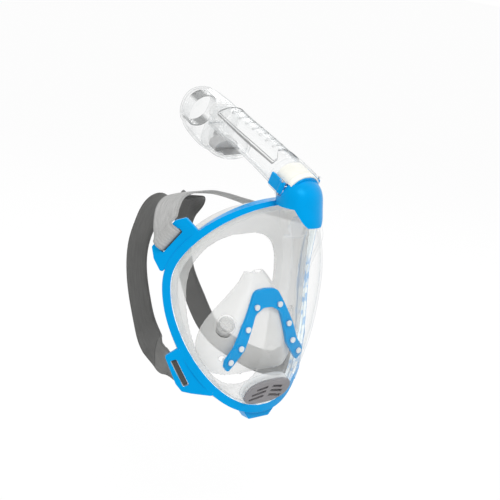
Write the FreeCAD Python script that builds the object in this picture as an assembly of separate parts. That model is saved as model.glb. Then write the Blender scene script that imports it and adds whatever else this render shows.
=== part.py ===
import FreeCAD, Part
import math
import os

# Full-face snorkelling mask: clear lens in a moulded frame, silicone skirt and
# nose pocket, chin purge valve, and a dry-top tube clipped in a socket.
# Working frame: +Z up, -Y out of the lens (away from the face), +X across.
# The datum lies on the centre plane; export() moves every shape so that the
# row origin is the middle of the face seal.

V = FreeCAD.Vector
X = V(1, 0, 0)
Y = V(0, 1, 0)
Z = V(0, 0, 1)

# ---------------------------------------------------------------- clearances
GAP = 0.3            # between two different bodies
RUN = 0.06           # radial, pin in a bore

# ------------------------------------------------------------ frame and lens
HALF_W = 89.0        # half width of the frame
CROWN = 80.0         # height above the widest line
CHIN = 122.0         # height below the widest line
WIDE_Z = 22.0        # level of the widest line
CROWN_POW = 0.88     # squareness of the upper outline
CHIN_POW = 0.93      # squareness of the lower outline
FRONT_Y = -12.3      # front of the frame on the centre plane
WRAP_R = 101.0       # radius the frame is wrapped round
BAND_W = 8.0         # front band, across, at the sides
BAND_TOP_W = 5.0     # the same at the crown
BAND_T = 2.4         # front band, thick
WALL_T = 2.2         # side wall, thick
WALL_D = 9.6         # side wall, deep
EDGE_R = 0.8         # rounding of the frame's edges
SNAP = 0.7           # snap lip that holds the skirt's bead
SNAP_L = 1.9         # snap lip, deep
REACH = 40.0         # cutting tools run this far past what they cut

LENS_T = 2.2         # lens wall
LENS_BULGE = 27.0    # rise of the lens in front of the frame
LENS_POW = 3.0       # fullness of the lens
LENS_SEAT = 1.2      # lens edge behind the band's front
LENS_EDGE = 6.0      # lens edge inside the frame's outline
LENS_INNER_EDGE = 4.0
LENS_FRONT = -70.0   # in front of the lens
LENS_BACK = 60.0     # behind the lens
FLANGE_W = 4.5       # lens flange inside the band's inner edge
WELD = 0.4           # depth that the window and the port run into the flange
FLANGE_CHIN_W = 0.8  # the same at the chin, clear of the purge port

# ------------------------------------------------------------- lugs and foot
LUG_V0 = 1.0         # front of the lug behind the band's front
LUG_T = 4.0          # lug thickness
LUG_R = 2.5          # corner rounding
SLOT_R = 1.2
UPPER_LUG_T = 0.40   # place on the outline, radians
UPPER_LUG = ((-29.0, -4.0), (-24.0, 9.5), (-17.0, 18.0), (16.0, 18.5), (25.0, 13.0), (24.0, -4.0))
UPPER_SLOT = ((-13.9, 7.0), (-13.9, 12.0), (13.5, 12.0), (13.5, 7.0))
LOWER_LUG_T = -0.79
LOWER_LUG = ((-26.0, -4.0), (-10.0, 12.5), (-3.0, 18.5), (6.0, 18.5), (33.0, 10.5), (32.0, -4.0))
LOWER_SLOT = ((-2.0, 9.2), (0.0, 14.4), (26.6, 8.9), (24.6, 3.7))
LOWER_SLANT = -0.21  # the slot drops this much outward per millimetre along
FOOT_HALF_W = 12.0
FOOT_FLARE = 9.0     # widening of each side up to the frame
FOOT_DROP = 6.5      # below the frame's lowest line
FOOT_RISE = 4.0      # above the frame's lowest line
FOOT_R = 1.5
FOOT_Y = -8.5
FOOT_DEPTH = 9.5
FOOT_SKIRT_Y = -2.2  # behind this the foot stays below the skirt

# ------------------------------------------------------------ skirt, opening
SKIRT_T = 2.0
SEAL_HALF_W = 53.0
SEAL_MID_Z = 12.0
SEAL_POW = 0.8       # squareness of the face opening
SEAL_TOP_Z = 57.0
SEAL_LOW_Z = -84.0
SEAL_TOP_Y = 39.0
SEAL_SIDE_Y = 50.0
SEAL_LOW_Y = 24.0
TURN_IN = 11.0       # where the skirt wall turns inward, inside the outline
TURN_TOP_Y = 31.0
TURN_SIDE_Y = 51.0
TURN_LOW_Y = 19.0
SKIRT_LIP = 0.7      # outer lip behind the side wall, beyond the bead's gaps
SKIRT_LIP_T = 2.2
SKIRT_LIP_OUT = 3.0  # lip beyond the side wall
SKIRT_LIP_END = -1.6  # the same at the chin and at the crown
SKIRT_HOLLOW = 2.6   # the side wall draws in this much on its way back, but for the crown
SKIRT_CROWN = 3.2    # the face flap swells this much towards the face
SKIRT_BEAD_T = 2.2
SKIRT_ROOT_U = -6.4

# --------------------------------------------------- nose pocket and its frame
POCKET_T = 1.6
POCKET_ROWS = (      # level, half width, front, back
    (30.0, 8.0, 20.5, 22.5),
    (22.0, 16.0, 9.0, 21.5),
    (12.0, 24.0, 3.2, 21.5),
    (0.0, 34.0, -0.2, 24.0),
    (-18.0, 48.0, -3.4, 28.0),
    (-36.0, 55.0, -4.2, 29.0),
    (-55.0, 51.0, -2.4, 24.0),
    (-68.0, 40.0, 3.0, 16.0),
)
POCKET_POW = 6.0
RIB_T = 3.0          # nose frame, thick
RIB_BACK = (         # level, back of the nose frame
    (24.0, 5.4),
    (16.0, 3.7),
    (0.0, -1.0),
    (-18.0, -4.1),
    (-36.0, -4.9),
    (-60.0, -2.6),
)
RIB_OUTLINE = (      # right half: across, level, corner radius; down the outside, back up inside
    (0.0, 15.5, 0.0),
    (13.5, 14.5, 10.0),
    (31.0, -18.0, 9.0),
    (38.0, -34.0, 6.0),
    (47.0, -45.0, 2.0),
    (47.0, -51.0, 2.0),
    (42.0, -57.0, 2.0),
    (26.0, -38.0, 9.0),
    (15.0, -6.0, 7.0),
    (5.0, -1.0, 5.0),
    (0.0, -1.0, 0.0),
)
STUDS = ((14.0, 0.7), (25.0, -18.0), (31.5, -35.0), (41.5, -47.0))
STUD_R = 1.7
STUD_HEAD_R = 2.7
STUD_HEAD_T = 1.2
STUD_STAND = 1.2     # head's back in front of the nose frame
STUD_L = 11.0

# -------------------------------------------------------------- inhale valves
INHALE_Z = -17.0
INHALE_R = 8.0
INHALE_WALL = 1.4
INHALE_LIP = 1.6
INHALE_LIP_T = 1.0
INHALE_LIP_AT = 1.0
INHALE_AT = 0.83     # place on the pocket's side, fraction of its half width
INHALE_BACK = 3.4    # seat tube's inner end, behind the valve's centre
INHALE_FRONT = 1.6   # and its outer end
INHALE_BAR = 1.2     # width and depth of the seat's cross
INHALE_BAR_AT = -0.6
FLAP_T = 0.8
FLAP_EDGE = 0.2      # leaf's edge inside the seat's outside
FLAP_AT = 4.7        # leaf's back, behind the valve's centre

# --------------------------------------------------------------- purge valve
PURGE_C = V(0.0, -13.8, -77.0)
PURGE_TILT = 25.8    # degrees, axis below horizontal
PURGE_A = 26.5       # half width of the oval
PURGE_B = 15.0       # half height of the oval
PURGE_WALL = 1.8
PORT_T = 2.0         # clear wall of the lens round the port
PORT_BACK = -8.0     # port wall's back, along the valve's axis
PORT_FRONT = 3.4     # and its front
PURGE_BACK = -6.4    # seat wall's back, along the valve's axis
PURGE_FRONT = 1.0    # and its front
PURGE_WEB_AT = -3.4  # front of the web that the leaf lies on
PURGE_WEB_T = 1.6
PURGE_HOLE_R = 9.0   # air hole in the web
PURGE_COVER_T = 2.2
PURGE_PLUG_L = 1.4   # cover's plug inside the seat
PURGE_DISC_R = 10.5
PURGE_DISC_T = 0.9
GRILLE_ROWS = ((5.6, 6.5), (-0.2, 8.0), (-6.2, 8.5))  # height, half length of the slots
GRILLE_SLOT = 3.3
COVER_R = 1.0        # rounding of the cover's front edge
GRILLE_MID = 2.6     # bare middle, each side
GRILLE_TILT = 12.0   # degrees

# -------------------------------------------------------------------- socket
LEAN = 9.5           # degrees, socket leans back going up
SOCKET_LOW = V(0.0, -31.2, 85.5)
SOCKET_A = 20.6
SOCKET_B = 20.8
SOCKET_T = 2.4
RISE_FROM = 1.4      # the socket's edge is level this far back from its front
RISE = 1.5           # then rises this much per millimetre
RISE_TOP = 15.0      # up to this height
DOME_UP = 24.0       # dome centre above the socket's lower edge
DOME_H = 19.0
DOME_ANGLES = (20.0, 38.0, 54.0, 68.0, 80.0)
SPIGOT = 3.5         # lens duct inside the socket
DUCT_ROWS = (        # half width, half depth, front-to-back place, level
    (15.0, 15.0, -21.0, 30.0),
    (19.0, 17.5, -25.5, 44.0),
    (19.8, 19.4, -29.4, 60.0),
)
DUCT_IN_A = 0.8      # duct's top inside the socket's half width
DUCT_IN_B = 0.6      # and inside its half depth
DUCT_TOP_L = 14.0    # straight length below the socket
DUCT_JOIN = 0.4      # gap between the duct's shoulder and the socket's rim
SPIGOT_ROOT = 1.0    # spigot runs this far down into the duct

# ---------------------------------------------------------------------- tube
OVAL_POW = 0.9       # squareness of the tube's ovals
TUBE_TILT = 21.5     # degrees above horizontal, pointing back
TUBE_P0 = V(0.0, -16.5, 120.3)
NECK_A = 15.4
NECK_B = 12.9
NECK_T = 2.4
NECK_START = -17.0
NECK_END = 4.5
TUBE_A = 17.4
TUBE_B = 15.0
TUBE_T = 1.8
TUBE_SKIN = 0.2      # tube's wall stands this far into the chamber
TUBE_START = 6.0
TUBE_END = 105.0
TUBE_TOP_A = 18.0
TUBE_TOP_B = 12.6
TUBE_TOP_OFF = -2.6
TUBE_ROWS = (        # place along, half width, half depth, middle off the axis
    (6.0, 17.4, 15.0, 0.0),
    (13.0, 17.3, 14.9, 0.0),
    (55.5, 16.5, 14.0, -0.4),
    (97.0, 17.7, 12.7, -2.4),
    (105.0, 18.0, 12.6, -2.6),
)
COLLAR_START = -11.0
COLLAR_END = 11.0
COLLAR_T = 1.6
COLLAR_EDGE_R = 0.6
COLLAR_SKIN = 0.7    # wall left behind the latch's tail
WINDOW_DROP = 2.6    # latch window, below the hook's middle
WINDOW_L = 5.2
TAIL_L = 2.4         # recess for the latch's tail
GASKET_START = -15.5   # cut to the dome under it
CHAMBER_START = 71.0
CHAMBER_B = 13.0
CHAMBER_POW = 0.8    # squareness of the float chamber
CHAMBER_ROWS = (     # place past the chamber's start, half width, half depth, middle off the axis
    (0.0, 10.5, 8.0, -16.5),
    (4.0, 14.9, 10.4, -18.6),
    (10.0, 17.5, 12.2, -20.2),
    (22.0, 19.1, 13.0, -21.8),
)
CHAMBER_TOP = (19.9, 13.0, -22.0)
DRAIN_WINDOWS = ((-14.5, 7.0), (-4.5, 9.0), (7.5, 7.0))  # left edge, width
DRAIN_WINDOW_S = 75.0
DRAIN_WINDOW_L = 10.0
CAP_END = 152.0
CAP_OFF = -14.8
CAP_T = 1.8
CAP_POW = 0.86       # squareness of the cap
CAP_ROWS = (         # place along, half width, half depth, middle off the axis
    (105.3, 21.0, 23.8, -14.8),
    (113.0, 21.6, 24.4, -14.8),
    (136.0, 20.2, 22.4, -14.8),
    (146.0, 17.6, 18.9, -14.0),
)
CAP_TOP_A = 11.6
CAP_TOP_B = 11.4
CAP_TOP_OFF = -13.2
SLOT_FROM = 15.0     # lower edge of the cap's slots below its top
SLOT_TO = 8.0        # and their upper edge
SLOT_RIB = 4.0       # ribs left between the slots, front and back
SLOT_SIDE_RIB = 12.0
CAP_BAND_T = 1.4
CAP_BAND_A = 15.2
CAP_BAND_B = 16.8
CAP_BAND_FROM = 17.0
CAP_BAND_TO = 7.5
LATCH_W = 12.0
LATCH_T = 2.2
LATCH_START = -11.6
LATCH_END = 7.0
LATCH_HOOK_S = 4.6
LATCH_PIN_S = -8.5
LATCH_PIN_X = 21.5
LATCH_R = 0.8        # rounding of the latch
LATCH_IN = 1.0       # hook and boss inside the latch's edges
HOOK_L = 3.2
HOOK_REACH = 1.5     # hook into the collar's window
BOSS_WALL = 1.1
EAR_T = 1.8
EAR_HALF_L = 2.2
EAR_ROOT_X = 12.0
EAR_TOP = 2.0        # ear beyond the pin's axis
PANEL_RIBS = 7
PANEL_HALF_W = 16.0
PANEL_T = 0.5
PANEL_RAISED_T = 1.0
PANEL_RIB_PITCH = 10.0
PANEL_R = 1.0        # rounding of the panel's corners
PANEL_BORDER_W = 1.1
PANEL_LEG_W = 4.0    # foot of the panel, each side of the notch
PANEL_NOTCH_HALF_W = 6.0
PANEL_NOTCH_L = 9.0
PANEL_FOOT = 4.0     # above the collar
PANEL_END = 5.0      # below the cap
PANEL_FROM = 3.0     # panel's edges start this far above the tube's axis
PANEL_BAR_FROM = 18.8
PANEL_BAR_HALF_W = 7.0
PANEL_BAR_RISE = 2.8
PANEL_BAR_T = 1.8
PIN_R = 0.8
DECK_T = 1.8
DECK_LIP = 1.6       # raised seat round the inlet
DECK_SEAT_H = 1.2
POST_T = 1.8         # posts that carry the lever's pin
POST_W = 4.4
POST_TOP = 2.6       # post above the pin's axis
FLOAT_HOLE = 6.0
FLOAT_HOLE_OFF = -22.0
INLET_A = 11.0
INLET_B = 7.0
INLET_OFF = -1.6
LEVER_N = -13.6      # rocker pivot below the tube's axis
LEVER_S = 113.0
LEVER_HALF = 6.0
LEVER_ARM = 17.0     # arm towards the float
LEVER_FRONT = 15.0   # arm over the inlet
LEVER_T = 1.8
LEVER_IN = 1.2       # arm's edges inside the hub's ends
HUB_WALL = 1.3
PIN_OVER = 3.4       # pin longer than the rocker and its gaps
SEAL_PAD_T = 3.2
SEAL_PAD_A = 1.0     # pad beyond the inlet, sideways
SEAL_PAD_B = 0.6     # and front to back
LEVER_OPEN = -14.0   # degrees, rest attitude of the rocker
FLOAT_START = 89.0
FLOAT_LEN = 11.0
FLOAT_POST = 9.2
FLOAT_POST_W = 4.0
FLOAT_A = 13.3
FLOAT_B = 7.0
FLOAT_OFF = -24.6
FLOAT_R = 1.2
DRAIN_N = -26.2
DRAIN_S = 78.6
DRAIN_LEN = 7.4
DRAIN_HALF_W = 9.6
DRAIN_T = 0.9
RAIL_HALF_W = 14.0
RAIL_T = 1.8
RAIL_IN = 0.4        # rail below the leaf's lower face

# -------------------------------------------------------------------- straps
STRAP_W = 25.0
STRAP_T = 1.8
STRAP_STEPS = 48     # sections along half a strap
LOWER_ENDS = (       # in the lug: outward, behind the band's front, along the frame
    (9.0, 1.6, 12.3),
    (9.3, 4.8, 12.3),
    (12.0, 8.6, 12.6),
)
UPPER_ENDS = (       # in the lug: outward, behind the band's front
    (9.5, 8.4),
    (9.5, 3.2),
    (12.6, -0.5),
    (18.6, -0.1),
    (20.6, 5.0),
)
STRAP_LOWER = (      # centre, width direction; one side, from the lug to the middle
    ((-62.0, 66.0, -66.5), (-0.10, -0.60, 0.79)),
    ((-43.5, 101.0, -68.5), (0.10, -0.82, 0.56)),
    ((-37.5, 120.4, -56.5), (0.20, -0.91, 0.36)),
    ((-34.4, 136.8, -37.2), (0.20, -0.96, 0.21)),
    ((-30.6, 151.9, -12.3), (0.20, -0.97, 0.16)),
    ((-26.8, 158.3, 19.4), (0.20, -0.97, 0.16)),
    ((-24.2, 154.7, 38.1), (0.15, -0.98, 0.16)),
    ((-23.0, 147.4, 53.0), (0.10, -0.98, 0.16)),
    ((-17.0, 133.0, 67.6), (0.00, -0.99, 0.17)),
    ((0.0, 121.5, 71.9), (0.00, -0.99, 0.17)),
)
STRAP_UPPER = (
    ((-66.9, 71.2, 65.3), (0.50, -0.66, 0.56)),
    ((-43.9, 97.4, 71.5), (0.60, -0.70, 0.37)),
    ((-24.6, 111.0, 76.4), (0.50, -0.82, 0.29)),
    ((0.0, 114.5, 77.8), (0.00, -0.96, 0.28)),
)

# -------------------------------------------------------------- duct divider
DIVIDER_Y = -30.6
DIVIDER_Z = 81.0
DIVIDER_HALF_W = 12.0
DIVIDER_HALF_H = 9.5
DIVIDER_T = 1.6
DIVIDER_R = 1.0
DIVIDER_BAR_H = 3.0
DIVIDER_BAR_DROP = 9.0
DIVIDER_REACH = 15.0  # bar's half length, to the duct's walls


# ------------------------------------------------------------- small helpers
def unit(v):
    out = V(v)
    out.normalize()
    return out


def spow(c, p):
    return math.copysign(abs(c) ** p, c)


def lerp(a, b, f):
    return a + (b - a) * f


def polygon(points):
    return Part.makePolygon(list(points) + [points[0]])


def loop(points):
    """Smooth closed wire through the points."""
    curve = Part.BSplineCurve()
    curve.interpolate(points, PeriodicFlag=True)
    return Part.Wire(curve.toShape())


def solid_loft(wires, ruled=False):
    return Part.makeLoft(wires, True, ruled)


def mirrored(shape):
    return shape.mirror(V(0, 0, 0), X)


def both_sides(shape):
    return shape.fuse(mirrored(shape)).removeSplitter()


def pair(shape):
    return Part.Compound([shape, mirrored(shape)])


def single(shape):
    """The one solid of a boolean result (the largest, if slivers remain)."""
    solids = sorted(shape.Solids, key=lambda s: s.Volume)
    return solids[-1]


def rounded(points, radius):
    """Planar closed wire with every corner rounded."""
    edges = []
    count = len(points)
    starts = []
    ends = []
    for i in range(count):
        here = points[i]
        back = unit(points[i - 1] - here)
        ahead = unit(points[(i + 1) % count] - here)
        half = back.getAngle(ahead) / 2.0
        cut = radius / math.tan(half)
        mid_dir = unit(back + ahead)
        centre = here + mid_dir * (radius / math.sin(half))
        starts.append(here + back * cut)
        ends.append(here + ahead * cut)
        edges.append(Part.Arc(starts[-1], centre - mid_dir * radius, ends[-1]).toShape())
    out = []
    for i in range(count):
        out.append(edges[i])
        nxt = starts[(i + 1) % count]
        if ends[i].distanceToPoint(nxt) > 1e-6:
            out.append(Part.makeLine(ends[i], nxt))
    return Part.Wire(out)


# -------------------------------------------------------------- frame outline
def wrap(x):
    """How far the wrapped frame drops back at a distance from the centre."""
    return WRAP_R - math.sqrt(max(WRAP_R ** 2 - x ** 2, 1.0))


def outline(t, inset=0.0):
    """Half-angle t from -pi/2 at the chin to +pi/2 at the crown."""
    c = math.cos(t)
    s = math.sin(t)
    upper = s >= 0
    power = CROWN_POW if upper else CHIN_POW
    height = CROWN if upper else CHIN
    x = (HALF_W - inset) * spow(c, power)
    z = WIDE_Z + (height - inset) * s
    return x, z


def rim_point(t):
    x, z = outline(t)
    return V(x, FRONT_Y + wrap(x), z)


def rim_axes(t):
    """Point on the frame's front edge, outward axis and inward-depth axis."""
    here = rim_point(t)
    step = 0.004
    along = unit(rim_point(t + step) - rim_point(t - step))
    side = here.x / WRAP_R
    deep = V(-side, math.sqrt(1.0 - side ** 2), 0.0)
    out = unit(along.cross(deep))
    if out.dot(V(here.x, 0, here.z - WIDE_Z)) < 0:
        out = out * -1.0
    return here, out, deep


def rim_at(t, u, v):
    here, out, deep = rim_axes(t)
    return here + out * u + deep * v


def angles(t0=-math.pi / 2, t1=math.pi / 2, count=25):
    return [lerp(t0, t1, i / (count - 1.0)) for i in range(count)]


def rim_loft(profile, radius=0.0, span=None):
    """Sweep a (u, v) profile round the outline; profile may depend on t."""
    wires = []
    for t in span or angles():
        pts = [rim_at(t, u, v) for u, v in profile(t)]
        wires.append(rounded(pts, radius) if radius else polygon(pts))
    return solid_loft(wires)


def rim_clearance(u0, u1, v0, v1):
    body = rim_loft(lambda t: ((u0, v0), (u1, v0), (u1, v1), (u0, v1)))
    return both_sides(body)


def outline_prism(inset, y0, y1):
    pts = []
    for t in angles(count=31):
        x, z = outline(t, inset)
        pts.append(V(x, y0, z))
    left = [V(-p.x, p.y, p.z) for p in reversed(pts[1:-1])]
    return Part.Face(loop(pts + left)).extrude(V(0, y1 - y0, 0))


# ---------------------------------------------------------------------- frame
def band_width(t):
    return lerp(BAND_W, BAND_TOP_W, max(math.sin(t), 0.0) ** 2)


def frame_profile(t):
    inner = -WALL_T
    band = -band_width(t)
    return (
        (band, 0.0),
        (0.0, 0.0),
        (0.0, WALL_D),
        (inner - SNAP, WALL_D),
        (inner, WALL_D - SNAP_L),
        (inner, BAND_T),
        (band, BAND_T),
    )


def up_rim(out, deep):
    """Direction along the frame, towards the crown."""
    along = unit(deep.cross(out))
    return along if along.z > 0 else along * -1.0


def plate_on_rim(t, points, radius, v0, v1):
    """Flat plate tangent to the frame: points are (along, outward)."""
    here, out, deep = rim_axes(t)
    along = up_rim(out, deep)
    wire = rounded([here + along * s + out * u + deep * v0 for s, u in points], radius)
    return Part.Face(wire).extrude(deep * (v1 - v0))


def lug(t, outline_points, slot_points):
    body = plate_on_rim(t, outline_points, LUG_R, LUG_V0, LUG_V0 + LUG_T)
    body = body.makeFillet(EDGE_R, flat_edges(body))
    slot = plate_on_rim(t, slot_points, SLOT_R, LUG_V0 - LUG_T, LUG_V0 + 2.0 * LUG_T)
    return body.cut(slot)


def flat_edges(body):
    """Edges of the two largest faces."""
    faces = sorted(body.Faces, key=lambda f: f.Area)[-2:]
    return faces[0].Edges + faces[1].Edges


def chin_foot():
    low = WIDE_Z - CHIN
    pts = (
        V(-FOOT_HALF_W, 0, low - FOOT_DROP),
        V(FOOT_HALF_W, 0, low - FOOT_DROP),
        V(FOOT_HALF_W + FOOT_FLARE, 0, low + FOOT_RISE),
        V(-FOOT_HALF_W - FOOT_FLARE, 0, low + FOOT_RISE),
    )
    block = Part.Face(rounded([p + Y * FOOT_Y for p in pts], FOOT_R)).extrude(Y * FOOT_DEPTH)
    block = block.cut(Part.makeBox(2.0 * REACH, REACH, REACH, V(-REACH, FOOT_SKIRT_Y, low - GAP)))
    return block.cut(rim_clearance(-REACH, -WALL_T / 2.0, -BAND_T, REACH))


def make_frame_ring():
    ring = both_sides(rim_loft(frame_profile, EDGE_R / 2.0))
    inside = rim_clearance(-REACH, WELD - WALL_T, -BAND_T, REACH)
    lugs = [lug(UPPER_LUG_T, UPPER_LUG, UPPER_SLOT), lug(LOWER_LUG_T, LOWER_LUG, LOWER_SLOT)]
    lugs = [s.cut(inside) for s in lugs]
    lugs = lugs + [mirrored(s) for s in lugs]
    return single(ring.multiFuse(lugs + [chin_foot()]))


# ----------------------------------------------------------------------- lens
def bulge_radius(x, z):
    """0 at the middle of the lens, 1 at the frame's inner edge."""
    dx = abs(x)
    dz = z - WIDE_Z
    upper = dz >= 0
    power = CROWN_POW if upper else CHIN_POW
    width = HALF_W - BAND_W
    height = (CROWN - BAND_TOP_W) if upper else (CHIN - BAND_W)
    low = 0.0
    high = 3.0
    for _ in range(40):
        r = 0.5 * (low + high)
        r = max(r, 1e-6)
        level = (dx / (width * r)) ** (2.0 / power) + (dz / (height * r)) ** 2
        if level > 1.0:
            low = r
        else:
            high = r
    return r


def lens_front(x, z):
    r = bulge_radius(x, z)
    rise = LENS_BULGE * (1.0 - r ** LENS_POW) if r < 1.0 else -2.0 * LENS_BULGE * (r - 1.0)
    return FRONT_Y + wrap(x) + LENS_SEAT - rise


def wall_drop(x):
    """Depth along Y that gives an even wall on the wrapped sides."""
    return 1.0 / math.sqrt(max(1.0 - (x / WRAP_R) ** 2, 0.16))


def height_solid(inset):
    """Everything behind the lens surface, from a grid of heights."""
    cols = 23
    rows = 27
    grid = []
    for i in range(cols):
        x = lerp(-HALF_W - 3.0, HALF_W + 3.0, i / (cols - 1.0))
        line = []
        for j in range(rows):
            z = lerp(WIDE_Z - CHIN - 4.0, WIDE_Z + CROWN + 4.0, j / (rows - 1.0))
            line.append(V(x, lens_front(x, z) + inset * wall_drop(x), z))
        grid.append(line)
    sheet = Part.BSplineSurface()
    sheet.interpolate(grid)
    return sheet.toShape().extrude(Y * 140.0)


def lean_axis():
    a = math.radians(LEAN)
    return V(0, math.sin(a), math.cos(a))


def oval(centre, across, up, a, b, power=1.0, count=24):
    """Closed smooth wire; power below 1 squares the oval."""
    pts = []
    for i in range(count):
        t = 2.0 * math.pi * i / count
        pts.append(centre + across * (a * spow(math.cos(t), power)) + up * (b * spow(math.sin(t), power)))
    return loop(pts)


def socket_edge(shift):
    """Everything above the socket's lower edge, which rises towards the back."""
    front = SOCKET_LOW.y - SOCKET_B
    bend = front + RISE_FROM
    profile = ((front - REACH, 0.0), (bend, 0.0), (bend + RISE_TOP / RISE, RISE_TOP), (REACH, RISE_TOP),
               (REACH, 2.0 * REACH), (front - REACH, 2.0 * REACH))
    points = [V(-REACH, y, SOCKET_LOW.z + z + shift) for y, z in profile]
    return Part.Face(polygon(points)).extrude(X * (2.0 * REACH))


def duct_stack(inset, top):
    """Forehead air duct: ovals from the lens's front up into the socket."""
    axis = lean_axis()
    rise = axis * (RISE_TOP + REACH / 4.0)
    low = SOCKET_LOW - axis * DUCT_JOIN
    a = SOCKET_A - DUCT_IN_A - inset
    b = SOCKET_B - DUCT_IN_B - inset
    wires = [oval(V(0, y, z), X, Y, half_w - inset, half_d - inset) for half_w, half_d, y, z in DUCT_ROWS]
    wires.append(oval(low - axis * DUCT_TOP_L, X, Y, a, b))
    wires.append(oval(low, X, Y, a, b))
    upright = solid_loft([oval(low - axis, X, Y, a, b), oval(low + rise, X, Y, a, b)], ruled=True)
    body = solid_loft(wires).fuse(upright)
    a = SOCKET_A - SOCKET_T - GAP - inset
    b = SOCKET_B - SOCKET_T - GAP - inset
    ends = [oval(low - axis * SPIGOT_ROOT, X, Y, a, b), oval(low + rise, X, Y, a, b)]
    spigot = solid_loft(ends, ruled=True).cut(socket_edge(top))
    return body.cut(socket_edge(-DUCT_JOIN)).fuse(spigot)


def make_lens():
    outer = outline_prism(LENS_EDGE, LENS_FRONT, LENS_BACK).common(height_solid(0.0))
    inner = outline_prism(LENS_INNER_EDGE, LENS_FRONT, LENS_BACK + REACH).common(height_solid(LENS_T))
    shell = outer.fuse(duct_stack(0.0, SPIGOT)).cut(inner)
    flange_v = BAND_T + GAP
    band_room = rim_clearance(-BAND_W - GAP, BAND_W, -BAND_T - GAP, flange_v + WELD)
    skirt_room = rim_clearance(-BAND_W - FLANGE_W - WELD, BAND_W, flange_v + LENS_T - WELD, 2.0 * REACH)
    shell = shell.cut(duct_stack(LENS_T, SPIGOT + LENS_T)).cut(band_room).cut(skirt_room)
    body = single(shell).fuse(both_sides(rim_loft(lens_flange_profile)))
    collar = purge_prism(PURGE_A + PORT_T, PURGE_B + PORT_T, PORT_BACK, PORT_FRONT)
    collar = collar.cut(band_room).cut(skirt_room)
    port = purge_prism(PURGE_A + GAP, PURGE_B + GAP, -REACH, REACH)
    return single(body.fuse(collar).cut(port))


def flange_reach(t):
    """Inner reach of the lens flange and the skirt's bead, less at the chin port."""
    chin = min(max((-math.sin(t) - 0.7) / 0.25, 0.0), 1.0)
    return band_width(t) + lerp(FLANGE_W, FLANGE_CHIN_W, chin)


def lens_flange_profile(t):
    v0 = BAND_T + GAP
    return (
        (-flange_reach(t), v0),
        (-WALL_T - GAP, v0),
        (-WALL_T - GAP, v0 + LENS_T),
        (-flange_reach(t), v0 + LENS_T),
    )


# ---------------------------------------------------------------------- skirt
def seal_edge(t):
    """Edge of the face opening."""
    c = math.cos(t)
    s = math.sin(t)
    upper = s >= 0
    z = SEAL_MID_Z + ((SEAL_TOP_Z - SEAL_MID_Z) if upper else (SEAL_MID_Z - SEAL_LOW_Z)) * s
    end_y = SEAL_TOP_Y if upper else SEAL_LOW_Y
    y = lerp(SEAL_SIDE_Y, end_y, s * s)
    return V(SEAL_HALF_W * spow(c, SEAL_POW), y, z)


def turn_edge(t):
    """Line where the skirt's wall turns in towards the face."""
    x, z = outline(t, TURN_IN)
    s = math.sin(t)
    end_y = TURN_TOP_Y if s >= 0 else TURN_LOW_Y
    return V(x, lerp(TURN_SIDE_Y, end_y, s * s), z)


def skirt_section(t):
    edge = seal_edge(t)
    turn = turn_edge(t)
    inward = unit(V(edge.x - turn.x, 0, edge.z - turn.z))
    bead_v = BAND_T + 2.0 * GAP + LENS_T
    out_u = -WALL_T - GAP
    lip_v = WALL_D + GAP + SKIRT_LIP / 2.0
    chin = min(max((-math.sin(t) - 0.86) / 0.1, 0.0), 1.0)
    crown = min(max((math.sin(t) - 0.6) / 0.3, 0.0), 1.0)
    flare = lerp(SKIRT_LIP_OUT, SKIRT_LIP_END, max(chin, crown))
    lip = rim_at(t, flare + SKIRT_LIP, lip_v + SKIRT_LIP_T)
    middle = lerp_v(turn, edge, 0.5) + Y * SKIRT_CROWN
    return [
        rim_at(t, -flange_reach(t), bead_v),
        rim_at(t, out_u, bead_v),
        rim_at(t, out_u, WALL_D - SNAP_L - SKIRT_LIP / 2.0),
        rim_at(t, out_u - SNAP, WALL_D - GAP),
        rim_at(t, out_u - SNAP, lip_v),
        rim_at(t, flare, lip_v),
        lip,
        lerp_v(lip, turn, 0.55) - inward * (SKIRT_HOLLOW * (1.0 - crown)),
        turn + Y * (SKIRT_T / 2.0),
        middle,
        edge + Y * (SKIRT_T / 3.0),
        edge - Y * (SKIRT_T / 1.5),
        middle - Y * SKIRT_T,
        turn + Y * (-SKIRT_T / 2.0) + inward * SKIRT_T,
        rim_at(t, SKIRT_ROOT_U, lip_v + SKIRT_LIP_T),
        rim_at(t, -flange_reach(t), bead_v + SKIRT_BEAD_T),
    ]


def lerp_v(a, b, f):
    return a + (b - a) * f


def make_face_skirt():
    return both_sides(solid_loft([polygon(skirt_section(t)) for t in angles(count=17)]))


# ---------------------------------------------------------------- nose pocket
def row_value(rows, z, column):
    """Piecewise value of a table of levels, highest level first."""
    for above, below in zip(rows, rows[1:]):
        if z >= below[0]:
            f = (above[0] - z) / (above[0] - below[0])
            return lerp(above[column], below[column], f)
    return rows[-1][column]


def pocket_point(z, f, inset=0.0):
    width = row_value(POCKET_ROWS, z, 1) - inset
    front = row_value(POCKET_ROWS, z, 2) + inset
    back = row_value(POCKET_ROWS, z, 3)
    return V(width * f, lerp(front, back, abs(f) ** POCKET_POW), z)


def pocket_section(z, inset, extra):
    fractions = (-1.0, -0.97, -0.92, -0.84, -0.72, -0.5, -0.25, 0.0,
                 0.25, 0.5, 0.72, 0.84, 0.92, 0.97, 1.0)
    pts = [pocket_point(z, f, inset) for f in fractions]
    pts[0] = pts[0] + Y * extra
    pts[-1] = pts[-1] + Y * extra
    curve = Part.BSplineCurve()
    curve.interpolate(pts)
    return Part.Wire([curve.toShape(), Part.makeLine(pts[-1], pts[0])])


def pocket_solid(inset, extra, stretch=0.0):
    levels = [row[0] for row in POCKET_ROWS]
    wires = []
    for i, z in enumerate(levels):
        shift = stretch if i == 0 else (-stretch if i == len(levels) - 1 else 0.0)
        wire = pocket_section(z, inset, extra)
        wire.translate(Z * shift)
        wires.append(wire)
    return solid_loft(wires)


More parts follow.
